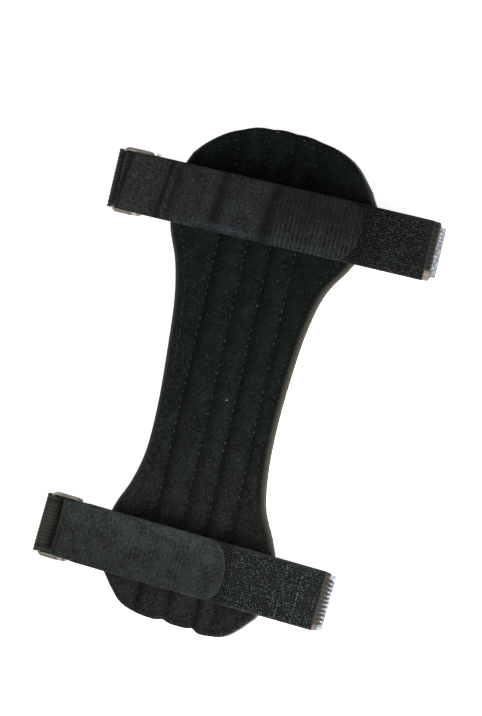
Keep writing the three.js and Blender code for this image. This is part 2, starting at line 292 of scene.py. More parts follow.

# Shades of the tapes: runs and edges of the painted shade over the hook tab's dim part, the painted
# hem highlight, and its cross ribs
TAB_FADE = 2.5
DIM_RUN = 9.0
DIM_EDGE = -10.0
DIM_EDGE_RUN = 16.0
DIM_FAR_SIDE = 0.2
HEM_HIGHLIGHT_RUNS = ((-13.0, 13.0, 1.0), (22.0, 14.0, 0.5))
HEM_INSET = 2.3
HEM_WIDTH = 1.2
SELVAGE = 1.0
SELVAGE_FADE = 0.4
SINGED = 0.8
RIB_RUN = 12.0
RIB_EDGE = 7.0
RIB_FAR_SIDE = 0.45
RIB_REST = 0.25

# Loop pile: where it starts, how it scatters, and what each loop measures
PILE_START = 1.4
PILE_INSET = 0.7
PILE_JITTER = 0.25
PILE_HEADING = (0.6, 0.5)
PILE_LENGTHS = (0.8, 1.2)
PILE_HEIGHTS = (0.5, 1.1)
PILE_RADIUS = 0.24
PILE_TINT = 0.86
PILE_SHADOW = 0.6

# Stitches that hold the tapes to the elastics, and the box of stitches at an elastic's sewn end
LAP_INSETS = (1.8, 1.2)
LAP_CLEARANCE = 0.55
LAP_SHARE = 0.75
LAP_RISE = 0.35
LAP_RADIUS = 0.18
BOX_PITCH = 2.4
BOX_SHARE = 0.8
BOX_RISE = 0.25
BOX_RADIUS = 0.22
BOX_SPAN = (2.0, 12.0)
BOX_INSET = 4.0

# Arches of thread: how far their ends sink, how much they thin, and a tone for even ones
ARCH_SINK = 1.35
ARCH_TAPER = 0.8
EVEN_TINT = 0.4

# Right folds of the elastics: where they are bare and frayed, from the start of the turn
TURN_START = 0.3
TURN_RISE = 0.9
TURN_END = 4.4
TURN_FALL = 1.6
FRAY_LEAD = 4.5
FRAY_TRAIL = 2.0
POINT_START = 0.1
POINT_RUN = 2.6
POINT_LEVEL = 0.9
POINT_EDGE = 0.2
POINT_REACH = 10.4
POINT_FADE = 0.4
GROOVE_FRAY = 0.15
LOWER_CORNER = (9.0, 2.5, 0.4)
UPPER_CORNER = (7.8, 1.2, 0.7)
UPPER_GROOVE = 0.6

# Painted shade on the rib beside each edge of an elastic
CORD_SHADE = 0.9
CORD_INSET = 1.9
CORD_WIDTH = 0.7

# Rings: rounded wire loops with a painted highlight spot, tilted so that the elastic's bar lies
# lower
WIRE_RADIUS = 1.15
RING_LENGTH = 25.6
RING_SPAN = 13.6
RING_CORNER = 2.1
RING_CORNER_STEPS = 12
RING_STEP = 0.4
RING_DROP = 0.8
RING_SIDES = 24
PAINTED_HIGHLIGHT_X = 4.4
PAINTED_HIGHLIGHT_Y = -12.8
PAINTED_HIGHLIGHT_RADIUS = 1.1
LEG_SLACK = 0.35
BAR_LEAD = 2.0
BAR_SETTLE = 7.0
LOOP_SLOPE = 14.0
INNER_LEG = 4.5

# Loose fibres: for each strap a tuft's place along it, count and reach, then lint on the lining
TUFTS = ((-47.2, 8, 1.6), (-47.9, 5, 3.0))
TUFT_SPREAD = 1.2
TUFT_INSET = 0.3
FIBRE_LOW = (0.4, -0.5, -0.1, -0.6)
FIBRE_HIGH = (1.0, 0.5, 0.3, 0.6)
FIBRE_POINTS = 9
FIBRE_SIDES = 5
FIBRE_RADIUS = 0.09
LINT = np.array(
    [
        (2.4, -8.6, 0.3),
        (2.9, -8.2, 1.5),
        (2.6, -8.4, 2.5),
        (-2.0, 105.0, 0.1),
        (9.9, 104.2, -0.2),
    ]
)
LINT_LENGTH = 1.3
LINT_RISE = 0.4
LINT_RADIUS = 1.4 * FIBRE_RADIUS
LINT_TINT = 0.3

# Stage: half the floor's side in metres, and the point that the camera looks at
FLOOR_HALF = 4.0
VIEW_MIDDLE = (4.5, 9.97, 5.0)


# Curves


def ease(t):
    """The smooth step 3 t^2 - 2 t^3 between 0 and 1."""
    t = np.clip(t, 0, 1)
    return t * t * (3 - 2 * t)


def lerp(start, end, share):
    """The value a share of the way from start to end."""
    return start + (end - start) * share


def unit(vectors):
    """Vectors of length 1 along the given ones."""
    return vectors / np.linalg.norm(vectors, axis=-1, keepdims=True)


def groove(distance, width):
    """The Gaussian exp(-(d / w)^2)."""
    return np.exp(-((distance / width) ** 2))


def hermite(t, start, end, start_slope, end_slope):
    """The cubic from start to end over t = 0 to 1 with those slopes per unit of t."""
    rise = end - start
    bend = (1 - t) * (start_slope - rise) + t * (rise - end_slope)
    return start + t * rise + t * (1 - t) * bend


def table_curve(table, along, column):
    """A smooth curve through one column of a table, read at any place along another column.

    Between two rows it is a cubic whose slope at a row is the mean of the secants beside it.
    """
    places, values = table[along], table[column]
    secants = np.diff(values) / np.diff(places)
    slopes = np.concatenate((secants[:1], (secants[1:] + secants[:-1]) / 2, secants[-1:]))

    def read(place):
        place = np.clip(place, places[0], places[-1])
        row = np.clip(np.searchsorted(places, place, side="right") - 1, 0, len(places) - 2)
        step = places[row + 1] - places[row]
        t = (place - places[row]) / step
        return hermite(t, values[row], values[row + 1], slopes[row] * step, slopes[row + 1] * step)

    return read


def spline(knots, steps=24):
    """A curve of cubics through (x, z) knots.

    Its slope at a knot is half the chord between the two knots beside it.
    """
    knots = np.array(knots, dtype=float)
    slopes = np.gradient(knots, axis=0)
    slopes[[0, -1]] /= 2
    place = np.linspace(0, len(knots) - 1, (len(knots) - 1) * steps + 1)
    row = np.minimum(place.astype(int), len(knots) - 2)
    t = (place - row)[:, None]
    return hermite(t, knots[row], knots[row + 1], slopes[row], slopes[row + 1])


def arc(centre, radius, start, end, steps=32):
    """Points on a circle about (x, z) between two angles in degrees."""
    angle = np.radians(np.linspace(start, end, steps))
    x = centre[0] + radius * np.cos(angle)
    z = centre[1] + radius * np.sin(angle)
    return np.stack((x, z), axis=-1)


# The guard's form

left_side = table_curve(SIDES, "y", "left")
right_side = table_curve(SIDES, "y", "right")
elbow_end = table_curve(ELBOW_END, "x", "y")
wrist_end = table_curve(WRIST_END, "x", "y")


def on_trough(x, depth):
    """The (x, z) point at a depth square to the outer face; a negative depth is outside the guard.

    The face is flat, then an arc of the bend radius, then a straight slope.
    """
    past = np.maximum(np.abs(x) - FLAT_HALF, 0)
    angle = np.minimum(np.arcsin(np.minimum(past / BEND_RADIUS, 1)), RIM_SLOPE)
    straight = np.maximum(past - BEND_RADIUS * sin(RIM_SLOPE), 0)
    height = BEND_RADIUS * (1 - np.cos(angle)) + straight * tan(RIM_SLOPE)
    angle = np.sign(x) * angle
    return x - depth * np.sin(angle), height + depth * np.cos(angle)


def guard_points(x, y, depth):
    """Points of the guard from their plan place on the outer face and a depth square to it.

    A Gaussian about the third seam carries both layers to the right towards the wrist end.
    """
    drift = DRIFT * groove(x - STITCH_LINES[2], DRIFT_WIDTH) * ease((DRIFT_START - y) / DRIFT_RUN)
    across, up = on_trough(x + drift, depth)
    return np.stack(np.broadcast_arrays(across, y, up), axis=-1)


def channel_puff(x):
    """sin(pi f) where f is the share of the way across a quilted channel, and 0 in the margins."""
    share = np.interp(x, STITCH_LINES, np.arange(len(STITCH_LINES)))
    return np.abs(np.sin(pi * share))


def guard_grid(rows, channel_steps, margin_steps, rim_steps):
    """Plan places (x, y) of the guard's grid, rows from the wrist end to the elbow end.

    Columns are straight on and between the stitch lines. In the margins they share out the way to a
    band along the rim, and then keep even distances to the rim. Rows bend into the end curves.
    """
    share = np.linspace(0, 1, rows)[:, None]
    low, high = SIDES["y"][[0, -1]]

    def columns(y):
        inner = np.linspace(0, 1, margin_steps, endpoint=False)
        rim = np.linspace(RIM_BAND, 0, rim_steps)
        steps = np.arange(channel_steps * (len(STITCH_LINES) - 1)) / channel_steps
        channels = np.interp(steps, np.arange(len(STITCH_LINES)), STITCH_LINES)
        left, right = left_side(y), right_side(y)
        return np.concatenate(
            (
                left + rim[::-1],
                lerp(STITCH_LINES[0], left + RIM_BAND, inner[:0:-1]),
                np.broadcast_to(channels, (len(y), len(channels))),
                lerp(STITCH_LINES[-1], right - RIM_BAND, inner),
                right - rim,
            ),
            axis=1,
        )

    y = lerp(low, high, share)
    x = columns(y)
    x_low, x_high = columns(y[:1]), columns(y[-1:])
    elbow = elbow_end(x_high) - high + SCALLOP * channel_puff(x_high)
    notches = NOTCH * groove(x_low[..., None] - STITCH_LINES[1:3], NOTCH_WIDTH).sum(axis=-1)
    wrist = wrist_end(x_low) - low - SCALLOP * channel_puff(x_low) + notches
    y = y + ease((share - 1 + END_BLEND) / END_BLEND) * elbow + ease(1 - share / END_BLEND) * wrist
    return x, y


def grid_outline(x, y):
    """The closed plan outline of a grid, anticlockwise from its wrist end's left corner."""
    edges = (
        (0, slice(None)),
        (slice(None), -1),
        (-1, slice(None, None, -1)),
        (slice(None, None, -1), 0),
    )
    return np.concatenate([np.stack((x[edge], y[edge]), axis=-1)[:-1] for edge in edges])


def resample(points, spacing):
    """Points at even distances, close to the spacing, round a closed line through given ones."""
    points = np.concatenate((points, points[:1]))
    lengths = np.concatenate(([0], np.cumsum(np.linalg.norm(np.diff(points, axis=0), axis=1))))
    count = max(int(round(lengths[-1] / spacing)), 1)
    places = np.linspace(0, lengths[-1], count + 1)[:-1]
    return np.stack([np.interp(places, lengths, column) for column in points.T], axis=-1)


GUARD_X, GUARD_Y = guard_grid(rows=300, channel_steps=14, margin_steps=9, rim_steps=13)
OUTLINE = resample(grid_outline(GUARD_X, GUARD_Y), OUTLINE_STEP)


def edge_distance(x, y):
    """Plan distance from each place to the guard's outline."""
    places = np.stack((np.ravel(x), np.ravel(y)), axis=-1)
    nearest = [
        np.sqrt(((chunk[:, None, :] - OUTLINE) ** 2).sum(axis=-1).min(axis=1))
        for chunk in np.array_split(places, max(len(places) // PLACES_AT_ONCE, 1))
    ]
    return np.concatenate(nearest).reshape(np.shape(x))


def ripple(x, y):
    """Low unevenness between -1 and 1: the mean of three sines across the plan."""
    waves = (
        np.sin(x / 3.1 + y / 7.3)
        + np.sin(y / 4.7 - x / 5.9 + 1.3)
        + np.sin(x / 1.9 - y / 11.0 + 4.0)
    )
    return waves / 3


def roll_in(distance, radius):
    """How far a rounded rim falls: radius minus the quarter circle's height at that distance in."""
    inside = np.clip(1 - distance / radius, 0, 1)
    return radius * (1 - np.sqrt(1 - inside**2))


def line_distance(x):
    """Plan distance from each place to the nearest straight stitch line."""
    return np.abs(x[..., None] - STITCH_LINES).min(axis=-1)


def lining_depth(x, y, edge):
    """Depth of the lining's face: channels that swell between sunk seams, and a rolled rim.

    A channel swells as a power of its sine and sinks towards the ends. Seams are Gaussian
    grooves, deepest at the needle holes, with puckers beside them that fade out in a few
    millimetres.
    """
    guard = bpy.context.scene.arm_guard.guard
    pitch, inset = guard.stitch_pitch / MM, guard.seam_inset / MM
    to_end = np.minimum(elbow_end(x) - y, y - wrist_end(x))
    ridge = guard.ridge / MM * lerp(END_RIDGE, 1, ease(to_end / END_FADE))
    swell = ridge * channel_puff(x) ** CHANNEL_POWER
    past = np.maximum(np.maximum(x - STITCH_LINES[-1], STITCH_LINES[0] - x), 0)
    to_seam = np.maximum(edge - inset, 0)
    margin = guard.margin_pad / MM * np.sin(pi * past / (past + to_seam + TINY))
    lip = LIP * np.sin(pi * np.clip(edge / inset, 0, 1))
    line = line_distance(x)
    needle = np.cos(2 * pi * y / pitch)
    straight_seam = SEAM_SINK + HOLE_SINK * (0.5 + 0.5 * needle)
    straight_seam = straight_seam * groove(line, SEAM_WIDTH) * ease(to_seam)
    rim_seam = RIM_SEAM_SINK + RIM_HOLE_SINK * np.cos(2 * pi * (x + y) / pitch)
    rim_seam = rim_seam * groove(edge - inset, RIM_SEAM_WIDTH)
    pucker = PUCKER * needle * groove(line - PUCKER_REACH, PUCKER_WIDTH)
    pucker = pucker * ease(to_seam / PUCKER_FADE)
    uneven = UNEVEN * ripple(x, y) * ease(edge / UNEVEN_FADE)
    relief = swell + np.where(past > 0, margin, 0) + lip + pucker + uneven
    return LEATHER + LINING + relief - straight_seam - rim_seam - roll_in(edge, LINING_ROLL)


def leather_depth(x, edge):
    """Depth of the outer face: 0, sunk along the seams and rolled in at the rim."""
    to_seam = edge - bpy.context.scene.arm_guard.guard.seam_inset / MM
    straight_seams = groove(line_distance(x), FRONT_SEAM_WIDTH) * ease(to_seam)
    seams = np.maximum(straight_seams, groove(to_seam, FRONT_SEAM_WIDTH))
    return FRONT_SEAM_SINK * seams + roll_in(edge, LEATHER_ROLL)


def on_lining(x, y, height):
    """Points over the lining's face."""
    return guard_points(x, y, lining_depth(x, y, edge_distance(x, y)) + height)


def on_leather(x, y, height):
    """Points outside the leather's face."""
    return guard_points(x, y, leather_depth(x, edge_distance(x, y)) - height)


# The straps' routes, each in its own frame: x along the strap, z up


def rim_under(strap, side):
    """The highest point of the rim under a strap, in the strap's frame, and its plan place."""
    across = np.linspace(-STRAP_WIDTH / 2, STRAP_WIDTH / 2, RIM_SAMPLES)
    rim = side(strap.y + across)
    x, z = on_trough(rim, LEATHER + GAP + LINING)
    top = np.argmax(z)
    turn = radians(strap.turn)
    return x[top] * cos(turn) + across[top] * sin(turn), z[top], rim[top]


def strap_layout(strap):
    """Sizes of one strap's routes that its pieces share, as the solids have them."""
    left_x, left_z, left_rim = rim_under(strap, left_side)
    right_x, right_z, right_rim = rim_under(strap, right_side)
    turn_rise = sin(abs(radians(strap.turn))) * (STRAP_WIDTH / 2) * tan(RIM_SLOPE)
    over_rim = GAP + TAPE / 2
    bar_z = left_z + over_rim - RING_DROP
    under_bar = WIRE_RADIUS + GAP + TAPE / 2
    leg_z = bar_z - under_bar - TAPE / 2 - GAP - ELASTIC / 2 - LEG_SLACK
    outer_leg_z = leg_z - ELASTIC - GAP
    wrap_radius = WIRE_RADIUS + GAP + ELASTIC / 2
    low_bar_z = outer_leg_z + wrap_radius
    tilt = asin((bar_z - low_bar_z) / RING_SPAN)
    foot_angle = acos(BEND_RADIUS / (BEND_RADIUS + GAP + turn_rise + ELASTIC))
    return SimpleNamespace(
        left_x=left_x, left_z=left_z + over_rim, left_rim=left_rim,
        right_x=right_x, right_z=right_z + over_rim, right_rim=right_rim,
        bar_x=strap.ring_x, bar_z=bar_z, under_bar=under_bar, tilt=tilt,
        low_bar_x=strap.ring_x - RING_SPAN * cos(tilt), low_bar_z=low_bar_z,
        leg_z=leg_z, outer_leg_z=outer_leg_z, wrap_radius=wrap_radius,
        sewn_depth=-(GAP + ELASTIC / 2 + turn_rise),
        foot_x=FLAT_HALF + BEND_RADIUS * sin(foot_angle),
    )


def make_route(strap, *stretches):
    """One route from stretches of (x, z) points that meet, with its lengths and normals."""
    points = np.concatenate(stretches)
    moved = np.linalg.norm(np.diff(points, axis=0), axis=1) > TINY
    points = points[np.concatenate(([True], moved))]
    lengths = np.concatenate(([0], np.cumsum(np.linalg.norm(np.diff(points, axis=0), axis=1))))
    tangent = unit(np.gradient(points, lengths, axis=0))
    return SimpleNamespace(
        strap=strap, lengths=lengths, end=lengths[-1],
        x=points[:, 0], z=points[:, 1], normal_x=-tangent[:, 1], normal_z=tangent[:, 0],
    )


def on_guard(strap, x, across, z):
    """Points of a strap's own frame in the guard's: turned by its turn and moved to its place."""
    turn = radians(strap.turn)
    guard_x = x * cos(turn) - across * sin(turn)
    guard_y = strap.y + x * sin(turn) + across * cos(turn)
    return np.stack(np.broadcast_arrays(guard_x, guard_y, z), axis=-1)


def on_route(route, along, across, height):
    """Points of a strap: a distance along its route, one across it and a height square to it."""
    x = np.interp(along, route.lengths, route.x)
    x = x + height * np.interp(along, route.lengths, route.normal_x)
    z = np.interp(along, route.lengths, route.z)
    z = z + height * np.interp(along, route.lengths, route.normal_z)
    return on_guard(route.strap, x, across, z)


def lower_layer(strap, layout):
    """The tape's lower layer, from its cut end over both rims to under the ring's bar."""
    share = np.array([0.2, 0.4, 0.6, 0.8])
    span_x = lerp(layout.right_x, layout.left_x, share)
    span_z = lerp(layout.right_z, layout.left_z, share) - SAG * 4 * share * (1 - share)
    bar_x = layout.bar_x
    pass_z = layout.bar_z - layout.under_bar - ROUTE_SLACK
    settle = (BAR_SETTLE - BAR_LEAD) / (layout.left_x - bar_x)
    return spline(
        [
            (strap.tape_end, layout.right_z - END_DROOP),
            (lerp(layout.right_x, strap.tape_end, 0.55), layout.right_z - END_DROOP / 4),
            (layout.right_x + BAR_LEAD, layout.right_z),
            *zip(span_x, span_z),
            (layout.left_x, layout.left_z),
            (bar_x + BAR_SETTLE, lerp(pass_z, layout.left_z, settle)),
            (bar_x + BAR_LEAD, pass_z),
            (bar_x - BAR_LEAD, pass_z),
            (bar_x - strap.fold_back, layout.bar_z + strap.fold_lift - strap.fold_radius),
        ]
    )


def height_over(points, x):
    """Height of a route that runs one way along x, read at x."""
    order = np.argsort(points[:, 0])
    return np.interp(x, points[order, 0], points[order, 1])


def crease_height(strap, x):
    """The tab's height over a snug lay: dips that sink over their run and rise again.

    Each dip is a Gaussian with its own width on either side, whose steepest rise is at the
    crease's place. The whole settles to 0 at the tab's end.
    """
    height = np.full(np.shape(x), max(crease.depth for crease in strap.creases))
    for crease in strap.creases:
        past = x - crease.x + crease.rise * sqrt(0.5)
        height = height - crease.depth * groove(past, np.where(past < 0, crease.run, crease.rise))
    return height * ease((strap.tab_end - x) / TAB_ROUND / 2)


def crease_shade(strap, x, across):
    """Painted shade in the creases, from 0 to 1: Gaussian bands that lean along the strap."""
    leaning = x - CREASE_LEAN * across
    bands = [
        crease.shade * groove(leaning - crease.x, CREASE_BAND * crease.rise)
        for crease in strap.creases
    ]
    return np.max(bands, axis=0)


def tape_route(strap, layout):
    """The whole tape: lower layer, fold through the ring, then the hook tab on top of it."""
    lower = lower_layer(strap, layout)
    fold = (layout.bar_x - strap.fold_back, layout.bar_z + strap.fold_lift)
    turn = arc(fold, strap.fold_radius, -90, -270)
    start = layout.left_x + 1
    tab_rows = int((strap.tab_end - start) / TAB_STEP)
    tab_x = np.linspace(start, strap.tab_end + TAB_SPARE, tab_rows)
    tab_z = height_over(lower, tab_x) + TAPE + SNUG + crease_height(strap, tab_x)
    over_bar = layout.bar_z + layout.under_bar + ROUTE_SLACK
    rise = spline(
        [
            turn[-1],
            (layout.bar_x - BAR_LEAD, over_bar + strap.fold_lift / 4),
            (layout.bar_x + BAR_LEAD, over_bar),
            (lerp(layout.bar_x + BAR_LEAD, start, 0.5), lerp(over_bar, tab_z[0], 0.5)),
            (start, tab_z[0]),
        ]
    )
    route = make_route(strap, lower, turn, rise, np.stack((tab_x, tab_z), axis=-1))
    route.end -= TAB_SPARE
    route.fold_x = fold[0] - strap.fold_radius
    route.tab_start = route.lengths[route.x.argmin()]
    route.pile_end = strap.tape_end - strap.tab_end + TAB_ROUND
    return route


def tape_half_widths(route, along):
    """Half the tape's width: narrower where it passes the ring, and a rounded tab at the far end.

    Under the ring's bar it opens in a few millimetres, and over it in a longer run from the fold.
    The tab's end is a superellipse: (1 - s^p)^(1/p) over its last millimetres.
    """
    x = np.interp(along, route.lengths, route.x)
    past_bar = x - route.strap.ring_x - WIRE_RADIUS / 2
    under = lerp(RING_STRAP_WIDTH, STRAP_WIDTH, ease(past_bar / RING_FLARE))
    over = lerp(FOLD_WIDTH, STRAP_WIDTH, ease((x - route.fold_x) / FOLD_FLARE))
    half = lerp(under, over, ease((along - route.tab_start) / route.strap.fold_radius)) / 2
    share = np.clip((along - route.end + TAB_ROUND) / TAB_ROUND, 0, 1)
    return half * (1 - share**TAB_POWER) ** (1 / TAB_POWER)


def sewn_places(rim, layout):
    """Elastic sewn under the outer face, from the rim in to the surface that the guard lies on."""
    x = np.linspace(rim, np.sign(rim) * layout.foot_x, SEWN_KNOTS)
    return np.stack(on_trough(x, layout.sewn_depth), axis=-1)


def elastic_route(strap, layout):
    """The ribbed elastic: under the tape's end, round the right fold, back under the outer face."""
    lower = lower_layer(strap, layout)

    def under(x):
        return x, height_over(lower, x) - TAPE / 2 - GAP / 2 - ELASTIC / 2

    fold_x = strap.tape_end + strap.end_reach - RIGHT_FOLD_RADIUS - ELASTIC / 2
    start, top = under(strap.tape_end - TAPE_LAP), under(fold_x)
    turn = arc((fold_x, top[1] - RIGHT_FOLD_RADIUS), RIGHT_FOLD_RADIUS, 90, -90)
    bottom_z = turn[-1][1]
    sewn = sewn_places(layout.right_rim, layout)
    lead = (sewn[0][0] + RIM_LEAD, sewn[0][1] + RIM_LEAD * tan(RIM_SLOPE) / 1.4)
    back = spline(
        [
            turn[-1],
            (lerp(fold_x, lead[0], 0.3), lerp(bottom_z, lead[1], 0.12)),
            (lerp(fold_x, lead[0], 0.7), lerp(bottom_z, lead[1], 0.65)),
            lead,
            *sewn,
        ]
    )
    route = make_route(strap, spline([start, under((start[0] + fold_x) / 2), top]), turn, back)
    before_turn = slice(route.x.argmax())
    route.fold_start = np.interp(fold_x, route.x[before_turn], route.lengths[before_turn])
    return route


def ring_loop_route(strap, layout):
    """The ring's elastic loop: sewn under the outer face, out round the ring's low bar and back."""
    sewn = sewn_places(layout.left_rim, layout)[::-1]
    rim_x, rim_z = sewn[-1]
    bar_x, low_x, outer_z, leg_z = layout.bar_x, layout.low_bar_x, layout.outer_leg_z, layout.leg_z
    out = spline(
        [
            *sewn,
            (rim_x - RIM_LEAD, rim_z + RIM_LEAD * tan(RIM_SLOPE) / 2),
            (lerp(rim_x, bar_x, 0.65), lerp(rim_z, outer_z, 0.6)),
            (bar_x, outer_z),
            ((bar_x + low_x) / 2, outer_z),
            (low_x, outer_z),
        ]
    )
    wrap = arc((low_x, layout.low_bar_z), layout.wrap_radius, -90, -270 - LOOP_SLOPE)
    leg = spline(
        [
            wrap[-1],
            (lerp(low_x, bar_x, 0.55), lerp(wrap[-1][1], leg_z, 0.75)),
            (bar_x, leg_z),
            (bar_x + INNER_LEG, leg_z),
        ]
    )
    return make_route(strap, out, wrap, leg)


# Meshes


def outward(vertices, quads):
    """The quads, all turned round if the solid's signed volume is negative."""
    a, b, c, d = (vertices[quads[:, corner]] for corner in range(4))
    volume = np.einsum("ij,ij->", a, np.cross(b, c) + np.cross(c, d))
    return quads if volume > 0 else quads[:, ::-1]


def loft(sections, closed=False):
    """Vertices and quads over sections joined in order; sections is (copies, along, around, 3).

    An end is closed by quads that join the points of its section in pairs, first with last. A
    closed loft joins its last section to its first instead.
    """
    copies, along, around, _ = sections.shape
    size = along * around
    here = np.arange(along if closed else along - 1)[:, None] * around + np.arange(around)
    beside = np.roll(here, -1, axis=1)
    quads = np.stack((here, beside, beside + around, here + around), axis=-1).reshape(-1, 4) % size
    if not closed:
        half = np.arange(around // 2 - 1)
        first = np.stack((half, around - 1 - half, around - 2 - half, half + 1), axis=-1)
        quads = np.concatenate((quads, first, first[:, ::-1] + size - around))
    quads = (quads + np.arange(copies)[:, None, None] * size).reshape(-1, 4)
    vertices = sections.reshape(-1, 3)
    return vertices, outward(vertices, quads)


def tubes(centres, planes, radius, sides, closed=False):
    """Round strands along centre lines, each of which lies in the plane with the given normal.

    A section is a circle in the line's normal and its plane's normal, and centres is
    (copies, along, 3).
    """
    if closed:
        tangents = np.roll(centres, -1, axis=1) - np.roll(centres, 1, axis=1)
    else:
        tangents = np.gradient(centres, axis=1)
    planes = np.broadcast_to(planes[:, None, :], centres.shape)
    outs = unit(np.cross(planes, tangents))
    angle = (np.arange(sides)[:, None] + 0.5) * 2 * pi / sides
    ring = outs[:, :, None, :] * np.cos(angle) + planes[:, :, None, :] * np.sin(angle)
    radius = np.broadcast_to(radius, centres.shape[:2])[..., None, None]
    return loft(centres[:, :, None, :] + radius * ring, closed)


def arches(surface, first, second, heading, length, height, radius, sections=7, sides=6):
    """Arches of thread on a surface, one for each place (first, second) and heading in radians.

    Along an arch its height is h (1 - a s^2) for s from -1 to 1 and an a over 1, so that its ends
    are sunk, and its radius falls with the root of 1 - b s^2.
    """
    share = np.linspace(-1, 1, sections)
    run = np.reshape(length, (-1, 1)) / 2 * share
    first_run = first[:, None] + run * np.cos(heading)[:, None]
    second_run = second[:, None] + run * np.sin(heading)[:, None]
    rise = np.reshape(height, (-1, 1)) * (1 - ARCH_SINK * share**2)
    centres = surface(first_run, second_run, rise)
    up = surface(first, second, 1.0) - surface(first, second, 0.0)
    planes = unit(np.cross(centres[:, -1] - centres[:, 0], up))
    return tubes(centres, planes, radius * np.sqrt(1 - ARCH_TAPER * share**2), sides)


def band_profile(thickness, edge_radius, flat_steps):
    """Half a band's section as rows (share of the flat half width, reach past it, height).

    From one edge to the other: a quarter round, a flat, and a quarter round.
    """
    angle = np.radians(np.linspace(0, 90, EDGE_STEPS))
    reach = edge_radius * np.cos(angle)
    height = thickness / 2 - edge_radius + edge_radius * np.sin(angle)
    corner = np.stack((np.ones(EDGE_STEPS), reach, height), axis=-1)
    flat = np.linspace(1, -1, flat_steps + 1)[1:-1]
    level = np.full(len(flat), thickness / 2)
    middle = np.stack((flat, np.zeros(len(flat)), level), axis=-1)
    return np.concatenate((corner, middle, corner[::-1] * (-1, -1, 1)))


def ribbed_profile(thickness, ribs, groove_depth):
    """Half a ribbed band's section: ribs across the width, each a root of a half sine."""
    share = np.linspace(1, -1, ribs * RIB_STEPS + 1)
    rib = np.abs(np.sin(pi * ribs * (1 - share) / 2)) ** RIB_POWER
    height = thickness / 2 - groove_depth * (1 - rib)
    return np.stack((share, np.zeros(len(share)), height), axis=-1)


def band(route, along, half_widths, profile, lift=None, lead=None):
    """A closed section carried along a route, its two faces alike.

    The section's flat part spans what its edges leave of the width. lift raises places of a
    section and lead moves them along, both from the distances along and across. Returns
    vertices, quads and lay, which is each vertex's distance along and across.
    """
    edge = profile[:, 1].max()
    half = half_widths[:, None]
    across = profile[:, 0] * np.maximum(half - edge, 0)
    across = across + profile[:, 1] * (np.minimum(half / edge, 1) if edge else 0)
    height = np.broadcast_to(profile[:, 2], across.shape)
    across = np.concatenate((across, across[:, ::-1]), axis=1)
    height = np.concatenate((height, -height[:, ::-1]), axis=1)
    along = np.broadcast_to(along[:, None], across.shape)
    if lift is not None:
        height = height + lift(along, across)
    if lead is not None:
        along = along + lead(along, across)
    vertices, quads = loft(on_route(route, along, across, height)[None])
    return vertices, quads, np.stack((along, across), axis=-1).reshape(-1, 2)


def add_piece(
    name, shape, finishes, node=None, lay=None, marks=None, finish_index=None, sharp=50
):
    """A mesh object of quads at the origin that rides on the guard and may stand for a solid.

    lay becomes its UV map, marks its point attributes, and sharp is the angle in degrees past
    which an edge is not smoothed.
    """
    vertices, quads = shape
    mesh = bpy.data.meshes.new(name)
    mesh.vertices.add(len(vertices))
    mesh.vertices.foreach_set("co", (vertices * MM).ravel())
    mesh.loops.add(quads.size)
    mesh.loops.foreach_set("vertex_index", quads.ravel())
    mesh.polygons.add(len(quads))
    mesh.polygons.foreach_set("loop_start", np.arange(0, quads.size, 4))
    if finish_index is not None:
        mesh.polygons.foreach_set("material_index", finish_index)
    mesh.update(calc_edges=True)
    mesh.shade_smooth()
    mesh.set_sharp_from_angle(angle=radians(sharp))
    if lay is not None:
        mesh.uv_layers.new(name="lay").uv.foreach_set("vector", lay[quads.ravel()].ravel())
    for mark, values in (marks or {}).items():
        mesh.attributes.new(mark, "FLOAT", "POINT").data.foreach_set("value", np.ravel(values))
    for finish in finishes:
        mesh.materials.append(finish)
    piece = bpy.data.objects.new(name, mesh)
    bpy.context.scene.collection.objects.link(piece)
    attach(piece, BODY)
    if node is not None:
        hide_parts(node)
    return piece


def joined(*shapes):
    """Several shapes as one: their vertices in order, and their quads counted on."""
    starts = np.cumsum([0] + [len(vertices) for vertices, _ in shapes])
    quads = [quads + start for (_, quads), start in zip(shapes, starts)]
    return np.concatenate([vertices for vertices, _ in shapes]), np.concatenate(quads)


# Finishes


class Field:
    """A shader socket that takes part in Python arithmetic; each operation adds a Math node."""

    def __init__(self, finish, socket):
        self.finish = finish
        self.socket = socket

    def math(self, operation, first, second=0.0):
        return self.finish.node("ShaderNodeMath", {"operation": operation}, {0: first, 1: second})

    def __add__(self, other):
        return self.math("ADD", self, other)

    def __radd__(self, other):
        return self.math("ADD", other, self)

    def __sub__(self, other):
        return self.math("SUBTRACT", self, other)

    def __rsub__(self, other):
        return self.math("SUBTRACT", other, self)

    def __mul__(self, other):
        return self.math("MULTIPLY", self, other)

    def __rmul__(self, other):
        return self.math("MULTIPLY", other, self)

    def wave(self, length):
        """A sine of this field with that wavelength, between 0 and 1."""
        return self.math("SINE", self * (2 * pi / length)) * 0.5 + 0.5

    def between(self, low, high):
        """0 below low, 1 above high, and a smooth step between them."""
        settings = {"interpolation_type": "SMOOTHSTEP"}
        inputs = {"Value": self, "From Min": low, "From Max": high}
        return self.finish.node("ShaderNodeMapRange", settings, inputs)


